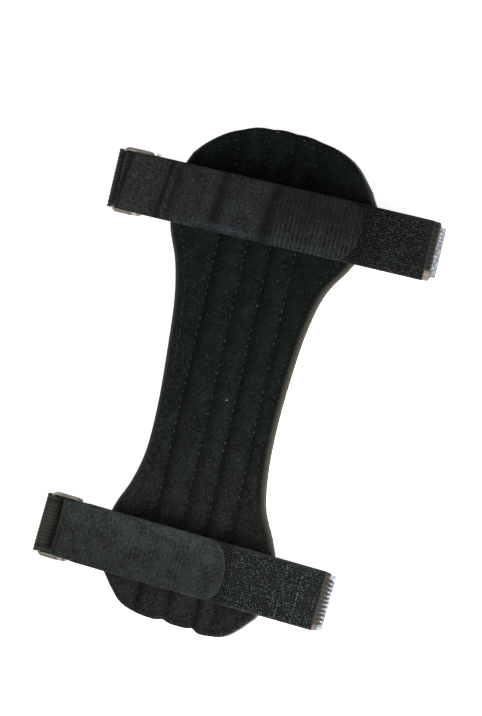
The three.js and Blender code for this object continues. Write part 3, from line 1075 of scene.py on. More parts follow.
class Finish:
    """A node material around one Principled shader, whose constant sockets are set by name."""

    def __init__(self, name, constants):
        self.material = bpy.data.materials.new(name)
        self.material.use_nodes = True
        self.tree = self.material.node_tree
        self.shader = self.tree.nodes["Principled BSDF"]
        for socket, value in constants.items():
            self.shader.inputs[socket].default_value = value

    def node(self, kind, settings, inputs, output=0):
        """A node of a kind, with its settings made first, then its sockets set or linked."""
        node = self.tree.nodes.new(kind)
        for setting, value in settings.items():
            setattr(node, setting, value)
        for socket, value in inputs.items():
            self.feed(node.inputs[socket], value)
        return Field(self, node.outputs[output])

    def feed(self, socket, value):
        if isinstance(value, Field):
            self.tree.links.new(value.socket, socket)
        else:
            socket.default_value = value

    def place(self):
        return self.node("ShaderNodeTexCoord", {}, {}, "Object")

    def lay(self):
        """Distances along and across a strap, in millimetres, from its UV map."""
        place = self.node("ShaderNodeTexCoord", {}, {}, "UV")
        along = self.node("ShaderNodeSeparateXYZ", {}, {"Vector": place}, "X")
        across = self.node("ShaderNodeSeparateXYZ", {}, {"Vector": place}, "Y")
        return along, across

    def mark(self, name):
        return self.node("ShaderNodeAttribute", {"attribute_name": name}, {}, "Fac")

    def noise(self, size, detail=2.0, roughness=0.5):
        """Clouds about a millimetre size wide, with values about 0.5."""
        inputs = {
            "Vector": self.place(),
            "Scale": 1 / (size * MM),
            "Detail": detail,
            "Roughness": roughness,
        }
        return self.node("ShaderNodeTexNoise", {}, inputs, "Fac")

    def cells(self, size):
        """Distance to the nearest of scattered points a millimetre size apart."""
        inputs = {"Vector": self.place(), "Scale": 1 / (size * MM)}
        return self.node("ShaderNodeTexVoronoi", {}, inputs, "Distance")

    def blend(self, factor, first, second):
        """A colour between two; a Mix node has its colours at sockets 6 and 7, its result at 2."""
        inputs = {0: factor, 6: first, 7: second}
        return self.node("ShaderNodeMix", {"data_type": "RGBA"}, inputs, 2)

    def over(self, factor, first, colour, tone=1.0):
        """A colour between one that varies and an even shade of another."""
        return self.blend(factor, first, shade(colour, tone))

    def shades(self, factor, colour, start, end):
        """A colour that runs with the factor from one shade of its own to another."""
        return self.blend(factor, shade(colour, start), shade(colour, end))

    def finish(self, colour, roughness, height, depth, strength):
        """Links what varies into the shader; height is in units of the depth, in millimetres.

        A roughness of None leaves the shader's own.
        """
        self.feed(self.shader.inputs["Base Color"], colour)
        if roughness is not None:
            self.feed(self.shader.inputs["Roughness"], roughness)
        bump = {"Strength": strength, "Distance": depth * MM, "Height": height}
        self.feed(self.shader.inputs["Normal"], self.node("ShaderNodeBump", {}, bump, "Normal"))
        return self.material


def shade(colour, factor):
    """A colour times a factor, with full alpha."""
    return tuple(channel * factor for channel in colour[:3]) + (1.0,)


def colours():
    """The colours in the scene's settings."""
    return bpy.context.scene.arm_guard.finishes


def lining_finish():
    """Short-napped cloth: fine grain, brushed clouds and a greyer cut edge, with painted light and
    shade on it.
    """
    constants = {"Roughness": 0.95, "Sheen Weight": 0.04, "Specular IOR Level": 0.06}
    finish = Finish("lining_cloth", constants)
    grain = finish.noise(0.9, 3.0, 0.7)
    clouds = finish.noise(6.0, 2.0)
    tone = grain.between(0.32, 0.72) * 0.75 + clouds.between(0.3, 0.7) * 0.25
    # Painted light: the cloth is painted paler towards the wrist end
    elbow_end_cloth = finish.shades(tone, colours().lining, 0.15, 1.22)
    other_cloth = finish.shades(tone, colours().lit_lining, 0.14, 2.15)
    nap = finish.blend(finish.mark("painted_wrist_light"), elbow_end_cloth, other_cloth)
    # Painted shade on each channel's slope just right of its stitch line
    nap = finish.over(finish.mark("painted_hollow_shade") * 0.65, nap, colours().lining, 0.2)
    # Painted highlight: paler cloth on the lit side of each channel's crest
    painted_highlight = finish.shades(grain.between(0.32, 0.72), colours().lit_lining, 0.4, 2.7)
    nap = finish.blend(finish.mark("crest") * 0.45, nap, painted_highlight)
    specks = finish.noise(1.0, 1.0).between(0.66, 0.76) * 0.55
    nap = finish.over(specks, nap, colours().thread, 1.2)
    cut = finish.mark("cut").between(0.2, 0.85)
    edge = finish.shades(finish.noise(1.2, 2.0), colours().cut_lining, 0.7, 1.25)
    edge = finish.over(finish.mark("cut").between(0.86, 0.97), edge, colours().cut_leather)
    height = grain + 0.5 * finish.noise(0.35, 2.0)
    return finish.finish(finish.blend(cut, nap, edge), None, height, 0.35, 0.8)


def leather_finish():
    """Dark smooth leather: fine creased grain, uneven gloss and a bare tan cut edge."""
    finish = Finish("front_leather", {"Specular IOR Level": 0.4})
    creases = finish.cells(1.1)
    clouds = finish.noise(14.0, 3.0)
    face = finish.shades(clouds * 0.6 + creases * 0.5, colours().leather, 0.7, 1.4)
    fibres = finish.noise(0.9, 3.0, 0.7)
    edge = finish.shades(fibres, colours().cut_leather, 0.6, 1.35)
    cut = finish.mark("cut").between(0.35, 0.75)
    roughness = 0.42 + clouds * 0.16 + cut * 0.3
    height = creases * -0.7 + finish.noise(0.5, 2.0) * 0.3
    return finish.finish(finish.blend(cut, face, edge), roughness, height, 0.16, 0.6)


def weave_finish(name, tone):
    """The tape's woven back: cross ribs, a fuzzy run at the ring, specks, painted shade and a
    painted hem highlight.
    """
    finish = Finish(name, {"Sheen Weight": 0.03, "Specular IOR Level": 0.1})
    along, across = finish.lay()
    wander = finish.noise(3.0, 2.0)
    ribs = (along + wander * 0.8).wave(1.95).between(0.4, 1.0)
    ribs = (ribs - 0.35) * finish.mark("ribs")
    yarns = (across + wander * 0.3).wave(0.7)
    clouds = finish.noise(6.0, 2.0)
    fuzz = finish.noise(0.8, 2.0, 0.75)
    selvage = finish.mark("selvage")
    weave = ribs * 0.4 + clouds.between(0.3, 0.7) * 0.25 + fuzz.between(0.3, 0.7) * 0.6
    # Painted light and shade: tone makes the upper strap's tape darker and the lower one's lighter
    cloth = finish.shades(weave, colours().tape, 0.12 * tone, 1.88 * tone)
    other_cloth = finish.shades(fuzz.between(0.3, 0.7), colours().worn_tape, 0.2, 1.9)
    cloth = finish.blend(finish.mark("tab"), other_cloth, cloth)
    # Painted shade in the creases, over the hook tab's dim part, and the tab's painted shadow on
    # the lower layer
    cloth = finish.over(finish.mark("painted_shade") * 0.95, cloth, colours().tape, 0.14)
    # Painted highlight along the hook tab's lower hem
    cloth = finish.over(finish.mark("hem") * fuzz.between(0.3, 0.65), cloth, colours().hem)
    specks = finish.noise(0.8, 1.0).between(0.68, 0.76) * 0.6
    cloth = finish.over(specks, cloth, colours().thread, 1.6)
    cloth = finish.over(finish.mark("cut"), cloth, colours().cut_tape)
    height = (ribs * 0.7 + yarns * 0.3) * (1.0 - 0.6 * selvage) + fuzz * 0.5
    return finish.finish(cloth, 0.72 + fuzz * 0.2, height, 0.14, 0.7)


def pile_finish(name):
    """The ground under the tape's loop pile: dark, crumbed, with a plain selvage."""
    constants = {"Roughness": 0.95, "Sheen Weight": 0.03, "Specular IOR Level": 0.06}
    finish = Finish(name, constants)
    crumbs = finish.cells(0.9)
    fuzz = finish.noise(0.7, 3.0, 0.7)
    selvage = finish.mark("selvage")
    ground = finish.shades(fuzz.between(0.35, 0.7), colours().tape, 0.15, 0.9)
    plain = finish.shades(fuzz, colours().tape, 0.7, 1.2)
    cloth = finish.blend(selvage, ground, plain)
    # Painted shadow of the hook tab's end on the ground
    cloth = finish.over(finish.mark("painted_shade") * 0.7, cloth, colours().tape, 0.2)
    cloth = finish.over(finish.mark("cut"), cloth, colours().cut_tape)
    height = (crumbs * -1.0 + fuzz * 0.6) * (1.0 - 0.8 * selvage)
    return finish.finish(cloth, None, height, 0.45, 0.9)


def elastic_finish():
    """Ribbed elastic: covered rubber cords with fine cross wraps, and painted shade in the grooves
    between.
    """
    finish = Finish("ribbed_elastic", {"Sheen Weight": 0.04, "Specular IOR Level": 0.12})
    along, _ = finish.lay()
    wraps = along.wave(0.8)
    crest = finish.mark("crest")
    fuzz = finish.noise(0.8, 2.0, 0.6)
    # Painted shade: the grooves between ribs are painted darker than their crests
    tone = crest.between(0.1, 0.95) * 0.6 + wraps * 0.15 + fuzz * 0.25
    cloth = finish.shades(tone, colours().elastic, 0.35, 1.55)
    frayed = finish.shades(fuzz, colours().frayed, 0.6, 1.4)
    cloth = finish.blend(finish.mark("frayed"), cloth, frayed)
    flecks = finish.noise(0.9, 1.0).between(0.42, 0.62)
    core = finish.shades(flecks, colours().core, 0.45, 1.1)
    cloth = finish.blend(finish.mark("bare"), cloth, core)
    return finish.finish(cloth, 0.6 + fuzz * 0.25, wraps * 0.5 + fuzz * 0.5, 0.12, 0.7)


def nickel_finish():
    """Worn warm nickel: clouds of tarnish, fine scratches in the gloss and a painted highlight, a
    bright spot.
    """
    finish = Finish("ring_metal", {"Metallic": 1.0})
    tarnish = finish.noise(4.0, 3.0, 0.6).between(0.4, 0.75)
    scratches = finish.noise(0.4, 2.0)
    metal = finish.shades(tarnish * 0.6, colours().nickel, 1.0, 0.45)
    # Painted highlight: a bright spot painted on the wire
    metal = finish.over(finish.mark("painted_highlight"), metal, colours().painted_highlight)
    roughness = 0.36 + tarnish * 0.15 + scratches * 0.1
    return finish.finish(metal, roughness, scratches, 0.03, 0.3)


def thread_finish(name, colour):
    """Spun thread or pile yarn, with a lighter or darker tone on each strand."""
    finish = Finish(name, {"Roughness": 0.8, "Sheen Weight": 0.03, "Specular IOR Level": 0.1})
    tint = finish.mark("tint")
    fuzz = finish.noise(0.4, 1.0)
    yarn = finish.shades(tint * 0.85 + fuzz * 0.15, colour, 0.25, 2.5)
    return finish.finish(yarn, None, fuzz, 0.08, 0.6)


def floor_finish():
    """A white sweep that glows enough to show no shadow."""
    white = (0.9, 0.9, 0.9, 1.0)
    constants = {
        "Base Color": white,
        "Roughness": 0.9,
        "Emission Color": white,
        "Emission Strength": 0.9,
    }
    return Finish("white_sweep", constants).material


# Settings


def length_setting(name, description, millimetres):
    return FloatProperty(
        name=name,
        description=description,
        default=millimetres * MM,
        min=0.0,
        precision=5,
        unit="LENGTH",
    )


def colour_setting(name, description, colour):
    return FloatVectorProperty(
        name=name,
        description=description,
        default=colour,
        size=3,
        min=0.0,
        max=1.0,
        subtype="COLOR",
    )


def rib_setting(name, description, count):
    return IntProperty(name=name, description=description, default=count, min=4, max=24)


def angle_setting(name, description, degrees):
    default = radians(degrees)
    return FloatProperty(name=name, description=description, default=default, subtype="ANGLE")


def power_setting(name, description, watts):
    return FloatProperty(name=name, description=description, default=watts, min=0.0, unit="POWER")


class GuardSettings(bpy.types.PropertyGroup):
    ridge: length_setting("Ridge", "Height of a quilted channel over its seams", 1.9)
    margin_pad: length_setting("Margin pad", "Height of the padding beside the channels", 0.5)
    seam_inset: length_setting("Seam inset", "Distance of the rim's seam from the outline", 3.5)
    stitch_pitch: length_setting("Stitch pitch", "Distance from one stitch to the next", 3.45)
    thread: length_setting("Thread", "Thickness of the sewing thread", 0.46)


class StrapSettings(bpy.types.PropertyGroup):
    ribs: rib_setting("Ribs", "Ribs across an elastic at a tape's end", 13)
    loop_ribs: rib_setting("Loop ribs", "Ribs across a ring's elastic", 15)
    rib_groove: length_setting("Rib groove", "Depth of the grooves between an elastic's ribs", 0.18)
    pile_spacing: length_setting("Pile spacing", "Distance between loops of the tape's pile", 1.1)
    pile_height: length_setting("Pile height", "Height of the loops over the tape", 0.5)
    seam_pitch: length_setting("Lap stitch", "Distance of stitches that hold tape to elastic", 2.3)


class FinishSettings(bpy.types.PropertyGroup):
    lining: colour_setting("Lining", "Napped cloth of the lining", (0.0088, 0.0134, 0.0106))
    # Painted light: the lining's colour towards the wrist end and on the channels' crests
    lit_lining: colour_setting("Worn lining", "Rubbed lining", (0.0103, 0.0114, 0.0102))
    leather: colour_setting("Leather", "Face of the front leather", (0.016, 0.015, 0.014))
    cut_lining: colour_setting("Cut lining", "Cut edge of the lining", (0.03, 0.029, 0.028))
    cut_leather: colour_setting("Cut leather", "Bare edge of the leather", (0.038, 0.034, 0.021))
    tape: colour_setting("Tape", "Woven back of the strap tape", (0.022, 0.026, 0.024))
    worn_tape: colour_setting("Worn tape", "Fuzzy run at the ring", (0.0185, 0.0195, 0.0185))
    # Painted highlight along the hook tab's lower hem
    hem: colour_setting("Hem", "Glossy lower hem of the hook tab", (0.035, 0.041, 0.055))
    cut_tape: colour_setting("Cut tape", "Singed cut end of a tape", (0.024, 0.022, 0.021))
    elastic: colour_setting("Elastic", "Ribbed elastic", (0.0256, 0.0252, 0.0198))
    frayed: colour_setting("Frayed", "Frayed elastic beside a tape's end", (0.42, 0.33, 0.28))
    core: colour_setting("Core", "Rubber that shows at an elastic's fold", (0.33, 0.36, 0.39))
    nickel: colour_setting("Nickel", "Wire of the rings", (0.29, 0.265, 0.22))
    # Painted highlight: the colour of the bright spot on each ring
    painted_highlight: colour_setting("Rubbed", "Bright rubbed spot of a ring", (0.82, 0.73, 0.68))
    thread: colour_setting("Thread", "Sewing thread and caught fibres", (0.034, 0.037, 0.037))
    fibre: colour_setting("Fibre", "Loose fibres and lint", (0.16, 0.16, 0.155))


class StageSettings(bpy.types.PropertyGroup):
    distance: length_setting("Camera distance", "From the camera to the guard", 6000.0)
    picture_height: length_setting("Picture height", "Height of the picture at the guard", 298.1)
    tilt: angle_setting("View tilt", "Lean of the view to the guard's right", 12)
    turn: angle_setting("Picture turn", "Turn of the guard in the picture", 13)
    sky: FloatProperty(
        name="Sky", description="Strength of the even light from all round", default=0.22, min=0.0
    )
    key: power_setting("Key", "Power of the broad light", 2.1)
    low: power_setting("Low", "Power of the light at the wrist end", 1.6)
    fill: power_setting("Fill", "Power of the light opposite", 0.75)


class ArmGuardSettings(bpy.types.PropertyGroup):
    guard: PointerProperty(
        type=GuardSettings, name="Guard", description="Sizes of the quilted guard"
    )
    straps: PointerProperty(
        type=StrapSettings, name="Straps", description="Sizes of the straps' surfaces"
    )
    finishes: PointerProperty(
        type=FinishSettings, name="Finishes", description="Colours of the materials"
    )
    stage: PointerProperty(type=StageSettings, name="Stage", description="Camera and light")


# Pieces


def panel_shape(outer, inner):
    """A closed panel over the guard's grid between an outer and an inner depth at each place."""
    inner_face = guard_points(GUARD_X, GUARD_Y, inner)
    outer_face = guard_points(GUARD_X, GUARD_Y, outer)
    return loft(np.concatenate((inner_face, outer_face[:, ::-1]), axis=1)[None])


def both_faces(values):
    """Values over the guard's grid for a panel's inner and then its outer face."""
    return np.concatenate((values, values[:, ::-1]), axis=1)


def rim_mark(edge, width):
    """1 on both edges of the rim's wall, 0 from a width further in, and fainter about both ends."""
    low, high = BARE_RIM
    bare = ease((GUARD_Y - low) / BARE_FADE) * ease((high - GUARD_Y) / BARE_FADE)
    return both_faces((1 - ease(edge / width)) * lerp(BARE_END, 1, bare))


def seam_places():
    """Places (x, y), headings and tones of the guard's stitches.

    One seam runs round the rim, an inset inside the outline's moving mean. The other four are
    straight, from rim seam to rim seam.
    """
    guard = bpy.context.scene.arm_guard.guard
    pitch, inset = guard.stitch_pitch / MM, guard.seam_inset / MM
    smooth = resample(OUTLINE, pitch / 4)
    shifts = np.arange(-SEAM_SMOOTHING, SEAM_SMOOTHING + 1)
    smooth = np.mean([np.roll(smooth, shift, axis=0) for shift in shifts], axis=0)
    forward = unit(np.roll(smooth, -1, axis=0) - np.roll(smooth, 1, axis=0))
    inward = np.stack((-forward[:, 1], forward[:, 0]), axis=-1)
    seam = resample(smooth + inset * inward, pitch)
    ahead = np.roll(seam, -1, axis=0) - np.roll(seam, 1, axis=0)
    places = [seam]
    headings = [np.arctan2(ahead[:, 1], ahead[:, 0])]
    tones = [np.full(len(seam), RIM_STITCH_TONE)]
    for x in STITCH_LINES:
        low = wrist_end(x) + inset + pitch / 2
        high = elbow_end(x) - inset - pitch / 2
        first = np.ceil(low / pitch - 0.5)
        y = (np.arange(first, high / pitch - 0.5) + 0.5) * pitch
        places.append(np.stack((np.full(len(y), x), y), axis=-1))
        headings.append(np.full(len(y), pi / 2))
        tones.append(lerp(WRIST_STITCH_TONE, 1, ease((y - WRIST_TONE_START) / WRIST_TONE_RUN)))
    return np.concatenate(places), np.concatenate(headings), np.concatenate(tones)


def on_strands(shape, values):
    """One value for each of the alike strands in a shape, repeated for all its vertices."""
    return np.repeat(values, len(shape[0]) // len(values))


class ARMGUARD_OT_front_leather(bpy.types.Operator):
    """Builds the front leather, the guard's outer face, with its sunk seams"""

    bl_idname = "armguard.front_leather"
    bl_label = "Front leather"

    def execute(self, context):
        edge = edge_distance(GUARD_X, GUARD_Y)
        outer = leather_depth(GUARD_X, edge)
        inner = np.full(GUARD_X.shape, LEATHER + GAP - SNUG)
        shape = panel_shape(outer, inner)
        marks = {"cut": rim_mark(edge, LEATHER_CUT)}
        finishes = [leather_finish()]
        add_piece("front_leather", shape, finishes, "front_panel", marks=marks)
        return {"FINISHED"}


class ARMGUARD_OT_quilted_lining(bpy.types.Operator):
    """Builds the quilted lining that lies on the arm"""

    bl_idname = "armguard.quilted_lining"
    bl_label = "Quilted lining"

    def execute(self, context):
        edge = edge_distance(GUARD_X, GUARD_Y)
        outer = np.full(GUARD_X.shape, LEATHER + GAP)
        inner = lining_depth(GUARD_X, GUARD_Y, edge)
        # Painted light and shade: paler towards the wrist end, shade right of each stitch line,
        # highlights on the crests
        painted_wrist_light = ease((PAINTED_LIGHT_START - GUARD_Y) / PAINTED_LIGHT_RUN)
        past = GUARD_X[..., None] - STITCH_LINES
        painted_hollow_shade = (PAINTED_HOLLOW_SHADES * groove(past - HOLLOW_SHIFT, HOLLOW_WIDTH)).sum(axis=-1)
        crest = (CREST_HIGHLIGHTS * groove(past[..., :-1] - CREST_SHIFT, CREST_WIDTH)).sum(axis=-1)
        marks = {
            "cut": rim_mark(edge, LINING_CUT),
            "painted_wrist_light": both_faces(painted_wrist_light),
            "painted_hollow_shade": both_faces(painted_hollow_shade),
            "crest": both_faces(crest * painted_wrist_light),
        }
        shape = panel_shape(outer, inner)
        finishes = [lining_finish()]
        lining = add_piece(
            "quilted_lining", shape, finishes, "back_lining", marks=marks
        )
        return {"FINISHED"}


class ARMGUARD_OT_seam_threads(bpy.types.Operator):
    """Sews the guard's seams: low arches of thread on both faces"""

    bl_idname = "armguard.seam_threads"
    bl_label = "Seam threads"

    def execute(self, context):
        guard = context.scene.arm_guard.guard
        places, headings, tones = seam_places()
        radius = guard.thread / MM / 2
        length = guard.stitch_pitch / MM * STITCH_SHARE
        yarn = thread_finish("seam_thread", colours().thread)

        for name, slot, face in (
            ("lining_thread", "lining_cloth", on_lining),
            ("front_thread", "front_leather", on_leather),
        ):
            shape = arches(face, *places.T, headings, length, radius * STITCH_RISE, radius)
            draws = np.random.default_rng(STITCH_SEED).random(len(places))
            tints = STITCH_TINT * draws**STITCH_TINT_POWER * tones
            add_piece(name, shape, [yarn], marks={"tint": on_strands(shape, tints)})
        return {"FINISHED"}


def tape_bow(route, along, across, half):
    """How far a tape's edges stand up or hang, measured along the route's normal.

    The section is a parabola of the strap's bow, and its lower hem hangs further over a short
    reach.
    """
    strap = route.strap
    rise = strap.bow * (2 * across / STRAP_WIDTH) ** 2
    rise = rise - strap.hem_hang * ease((HEM_REACH - half - across) / HEM_REACH)
    settled = ease((route.end - along) / TAB_ROUND / 3) * ease(along / TAPE_LAP)
    return rise * settled * np.interp(along, route.lengths, route.normal_z)


def on_pile_face(route, clearance=0.0):
    """A surface over the lower layer's pile face, which follows the tape's bow."""

    def place(along, across, height):
        bow = tape_bow(route, along, across, tape_half_widths(route, along))
        return on_route(route, along, across, bow - TAPE / 2 - clearance - height)

    return place


def tape_marks(route, lay, half):
    """Marks of a tape from its lay: selvages, singed cut end, hook tab, its painted shade and its
    painted hem highlight.
    """
    along, across = lay.T
    strap = route.strap
    x = np.interp(along, route.lengths, route.x)
    on_top = ease(along - route.tab_start)
    on_tab = on_top * ease((x - strap.tab_start) / TAB_FADE)
    # Painted shade: creases and a dim part of the hook tab are painted darker
    side = strap.dim_side * across
    dim = strap.dim * ease((x - strap.dim_start) / DIM_RUN)
    dim = dim * lerp(DIM_FAR_SIDE, 1, ease((side - DIM_EDGE) / DIM_EDGE_RUN))
    painted_shade = np.maximum(crease_shade(strap, x, across), dim)
    # Painted highlight along the lower hem, in runs along the tab
    highlight_run = sum(strength * groove(x - place, run) for place, run, strength in HEM_HIGHLIGHT_RUNS)
    hem = groove(across + half - HEM_INSET, HEM_WIDTH) * highlight_run * (strap.hem_hang > 0)
    ribbed = ease(x / RIB_RUN) * lerp(RIB_FAR_SIDE, 1, ease((RIB_EDGE - across) / RIB_RUN))
    return {
        "selvage": ease((np.abs(across) - half + SELVAGE) / SELVAGE_FADE),
        "cut": 1 - ease(along / SINGED),
        "tab": on_tab,
        "painted_shade": lerp(tab_shadow(strap, along), painted_shade, on_top),
        "ribs": lerp(RIB_REST, strap.ribs, ribbed),
        "hem": on_tab * hem,
    }


def tab_shadow(strap, along):
    """How dark the lower layer is under and beside the tab's end, from 0 to 1."""
    return ease((along - strap.tape_end + strap.tab_end + strap.shadow_run) / strap.shadow_run)


class ARMGUARD_OT_tapes(bpy.types.Operator):
    """Builds both strap tapes, the loop pile that shows on them and the seams at their laps"""

    bl_idname = "armguard.tapes"
    bl_label = "Strap tapes"

    def execute(self, context):
        for strap in STRAPS:
            route = tape_route(strap, strap_layout(strap))
            self.tape(strap, route)
            self.pile(strap, route, context.scene.arm_guard.straps)
            self.lap_seams(strap, route, context.scene.arm_guard.straps)
        return {"FINISHED"}

    def tape(self, strap, route):
        """The whole band, woven on one face and with the pile's ground on the other."""
        body = np.linspace(0, route.end - TAB_ROUND, int(route.end / TAPE_STEP))
        tip = TAB_ROUND * np.sin(np.linspace(0, pi / 2 * TIP_SHARE, TIP_ROWS))
        along = np.concatenate((body, route.end - TAB_ROUND + tip[1:]))
        half = tape_half_widths(route, along)
        profile = band_profile(TAPE, TAPE_EDGE, TAPE_COLUMNS)

        def bow(place, across):
            return tape_bow(route, place, across, np.interp(place, along, half))

        def slant(place, across):
            return strap.tab_slant * across * ease((place - route.end) / (2 * TAB_ROUND) + 1)

        vertices, quads, lay = band(route, along, half, profile, bow, slant)
        around = 2 * len(profile)
        ring = np.arange((len(along) - 1) * around) % around
        faces = np.where((ring >= len(profile)) & (ring < around - 1), 1, 0)
        faces = np.concatenate((faces, np.zeros(len(quads) - len(faces), dtype=int)))
        finishes = [
            weave_finish(f"{strap.name}_tape_weave", strap.tone),
            pile_finish(f"{strap.name}_tape_ground"),
        ]
        marks = tape_marks(route, lay, np.interp(lay[:, 0], along, half))
        add_piece(
            f"{strap.name}_tape", (vertices, quads), finishes, f"{strap.name}_strap",
            lay=lay, marks=marks, finish_index=faces,
        )

    def pile(self, strap, route, straps):
        """Loops in jittered rows on the lower layer, from its cut end to under the tab's end."""
        random = np.random.default_rng(PILE_SEED)
        spacing = straps.pile_spacing / MM
        inner = STRAP_WIDTH / 2 - PILE_INSET
        rows, columns = np.meshgrid(
            np.arange(PILE_START, route.pile_end, spacing),
            np.arange(-inner, inner, spacing),
            indexing="ij",
        )
        count = rows.size
        along = rows.ravel() + random.uniform(-PILE_JITTER, PILE_JITTER, count) * spacing
        across = columns.ravel() + random.uniform(-PILE_JITTER, PILE_JITTER, count) * spacing
        along = along + spacing / 2 * (np.arange(count) % 2)
        heading = random.normal(*PILE_HEADING, count)
        length = random.uniform(*PILE_LENGTHS, count)
        height = straps.pile_height / MM * random.uniform(*PILE_HEIGHTS, count)

        face = on_pile_face(route)
        shape = arches(
            face, along, across, heading, length, height, PILE_RADIUS, sections=5, sides=4
        )
        # Painted light and shade: pile_tone makes the upper strap's pile darker and the lower one's
        # lighter
        yarn = thread_finish(f"{strap.name}_pile_yarn", shade(colours().tape, strap.pile_tone))
        tints = PILE_TINT * random.random(count) ** 2
        tints = tints * (1 - PILE_SHADOW * tab_shadow(strap, along))
        marks = {"tint": on_strands(shape, tints)}
        add_piece(f"{strap.name}_tape_pile", shape, [yarn], marks=marks, sharp=180)

    def lap_seams(self, strap, route, straps):
        """Rows of stitches across the tape where the elastic is sewn under its end."""
        pitch = straps.seam_pitch / MM
        low_inset, high_inset = LAP_INSETS
        across = np.arange(-STRAP_WIDTH / 2 + low_inset, STRAP_WIDTH / 2 - high_inset, pitch)
        along = np.repeat(strap.lap_seams, len(across))
        across = np.tile(across, len(strap.lap_seams))

        face = on_pile_face(route, LAP_CLEARANCE)
        heading = np.full(len(along), pi / 2)
        shape = arches(face, along, across, heading, pitch * LAP_SHARE, LAP_RISE, LAP_RADIUS)
        yarn = thread_finish(f"{strap.name}_lap_thread", shade(colours().tape, strap.lap_tone))
        tints = np.random.default_rng(LAP_SEED).random(len(along))
        marks = {"tint": on_strands(shape, tints)}
        add_piece(f"{strap.name}_lap_thread", shape, [yarn], marks=marks)


def fold_marks(route, along, across, crest):
    """How bare and how frayed an elastic is at its fold, with crest its ribs' height, all 0 to 1.

    The upper fold is bare all over, with a frayed lower corner. The lower one is frayed in its
    grooves up to the fold, and past it bare in them, and they widen until the ribs end in points.
    """
    past = along - route.fold_start
    on_turn = ease((past - TURN_START) / TURN_RISE) * (1 - ease((past - TURN_END) / TURN_FALL))
    before = ease(past + FRAY_LEAD) * ease(FRAY_TRAIL - past) * (1 - on_turn)
    if route.strap.name == "lower":
        level = POINT_LEVEL * np.clip((past - POINT_START) / POINT_RUN, 0, 1)
        points = ease((crest - level) / POINT_EDGE)
        margin = ease((np.abs(across) - POINT_REACH) / POINT_FADE) * ease(past - POINT_FADE)
        bare = on_turn * (1 - points * (1 - margin))
        start, run, corner_fray = LOWER_CORNER
        grooves = GROOVE_FRAY * (1 - ease(crest))
        frayed = lerp(grooves, corner_fray, ease((-across - start) / run))
        return bare, frayed * before
    start, run, corner_fray = UPPER_CORNER
    bare = on_turn * lerp(UPPER_GROOVE, 1, crest)
    return bare, corner_fray * before * ease((-across - start) / run)


def ribbed_band(name, node, route, width, ribs, finish, folded=False):
    """A ribbed elastic along a route, alike on both faces, with bare rubber if it is folded."""
    depth = bpy.context.scene.arm_guard.straps.rib_groove / MM
    profile = ribbed_profile(ELASTIC, ribs, depth)
    along = np.linspace(0, route.end, int(route.end / ELASTIC_STEP))
    half = np.full(len(along), width / 2)
    if folded:
        taper = ease((along - route.fold_start - PAST_TURN) / FOLD_TAPER_RUN)
        half = half - route.strap.fold_taper * taper
    else:
        turn = route.lengths[route.x.argmin()]
        half = half + LOOP_FLARE * (1 - ease((along - turn - PAST_TURN) / LOOP_FLARE_RUN))
    vertices, quads, lay = band(route, along, half, profile)
    rib = 1 - (ELASTIC / 2 - profile[:, 2]) / depth
    crest = np.tile(np.concatenate((rib, rib[::-1])), len(along))
    # Painted shade on the rib beside each edge
    to_cord = np.abs(lay[:, 1]) - width / 2 + CORD_INSET
    crest = crest * (1 - CORD_SHADE * groove(to_cord, CORD_WIDTH))
    plain = np.zeros(len(crest))
    bare, frayed = fold_marks(route, *lay.T, crest) if folded else (plain, plain)
    marks = {"crest": crest, "bare": bare, "frayed": frayed}
    shape = vertices, quads
    add_piece(name, shape, [finish], node, lay=lay, marks=marks, sharp=80)


def box_stitches(route, start, end, width):
    """Stitches on a band's sewn end: a row along each side and one across each end of a box."""
    side_run = np.arange(start + BOX_PITCH / 2, end, BOX_PITCH)
    end_run = np.arange(-width / 2 + BOX_PITCH / 2, width / 2, BOX_PITCH)
    sides = [(side_run, np.full(len(side_run), side), 0.0) for side in (-width / 2, width / 2)]
    ends = [(np.full(len(end_run), place), end_run, pi / 2) for place in (start, end)]
    rows = sides + ends
    along = np.concatenate([row[0] for row in rows])
    across = np.concatenate([row[1] for row in rows])
    heading = np.concatenate([np.full(len(row[0]), row[2]) for row in rows])

    def face(along, across, height):
        return on_route(route, along, across, ELASTIC / 2 + height)

    return arches(face, along, across, heading, BOX_PITCH * BOX_SHARE, BOX_RISE, BOX_RADIUS)


class ARMGUARD_OT_ribbed_elastics(bpy.types.Operator):
    """Builds the ribbed elastics: one at each tape's end, and one loop round each ring"""

    bl_idname = "armguard.ribbed_elastics"
    bl_label = "Ribbed elastics"

    def execute(self, context):
        straps = context.scene.arm_guard.straps
        finish = elastic_finish()
        yarn = thread_finish("elastic_thread", colours().thread)
        for strap in STRAPS:
            layout = strap_layout(strap)
            fold = elastic_route(strap, layout)
            loop = ring_loop_route(strap, layout)
            name = strap.name
            ribbed_band(
                f"{name}_ribbed_elastic", f"{name}_elastic",
                fold, ELASTIC_WIDTH, straps.ribs, finish, folded=True,
            )
            ribbed_band(
                f"{name}_ring_loop", f"{name}_ring_tab",
                loop, TAB_WIDTH, straps.loop_ribs, finish,
            )
            near, far = BOX_SPAN
            shape = joined(
                box_stitches(fold, fold.end - far, fold.end - near, ELASTIC_WIDTH - BOX_INSET),
                box_stitches(loop, near, far, TAB_WIDTH - BOX_INSET),
            )
            marks = {"tint": np.full(len(shape[0]), EVEN_TINT)}
            add_piece(f"{name}_elastic_thread", shape, [yarn], marks=marks)
        return {"FINISHED"}


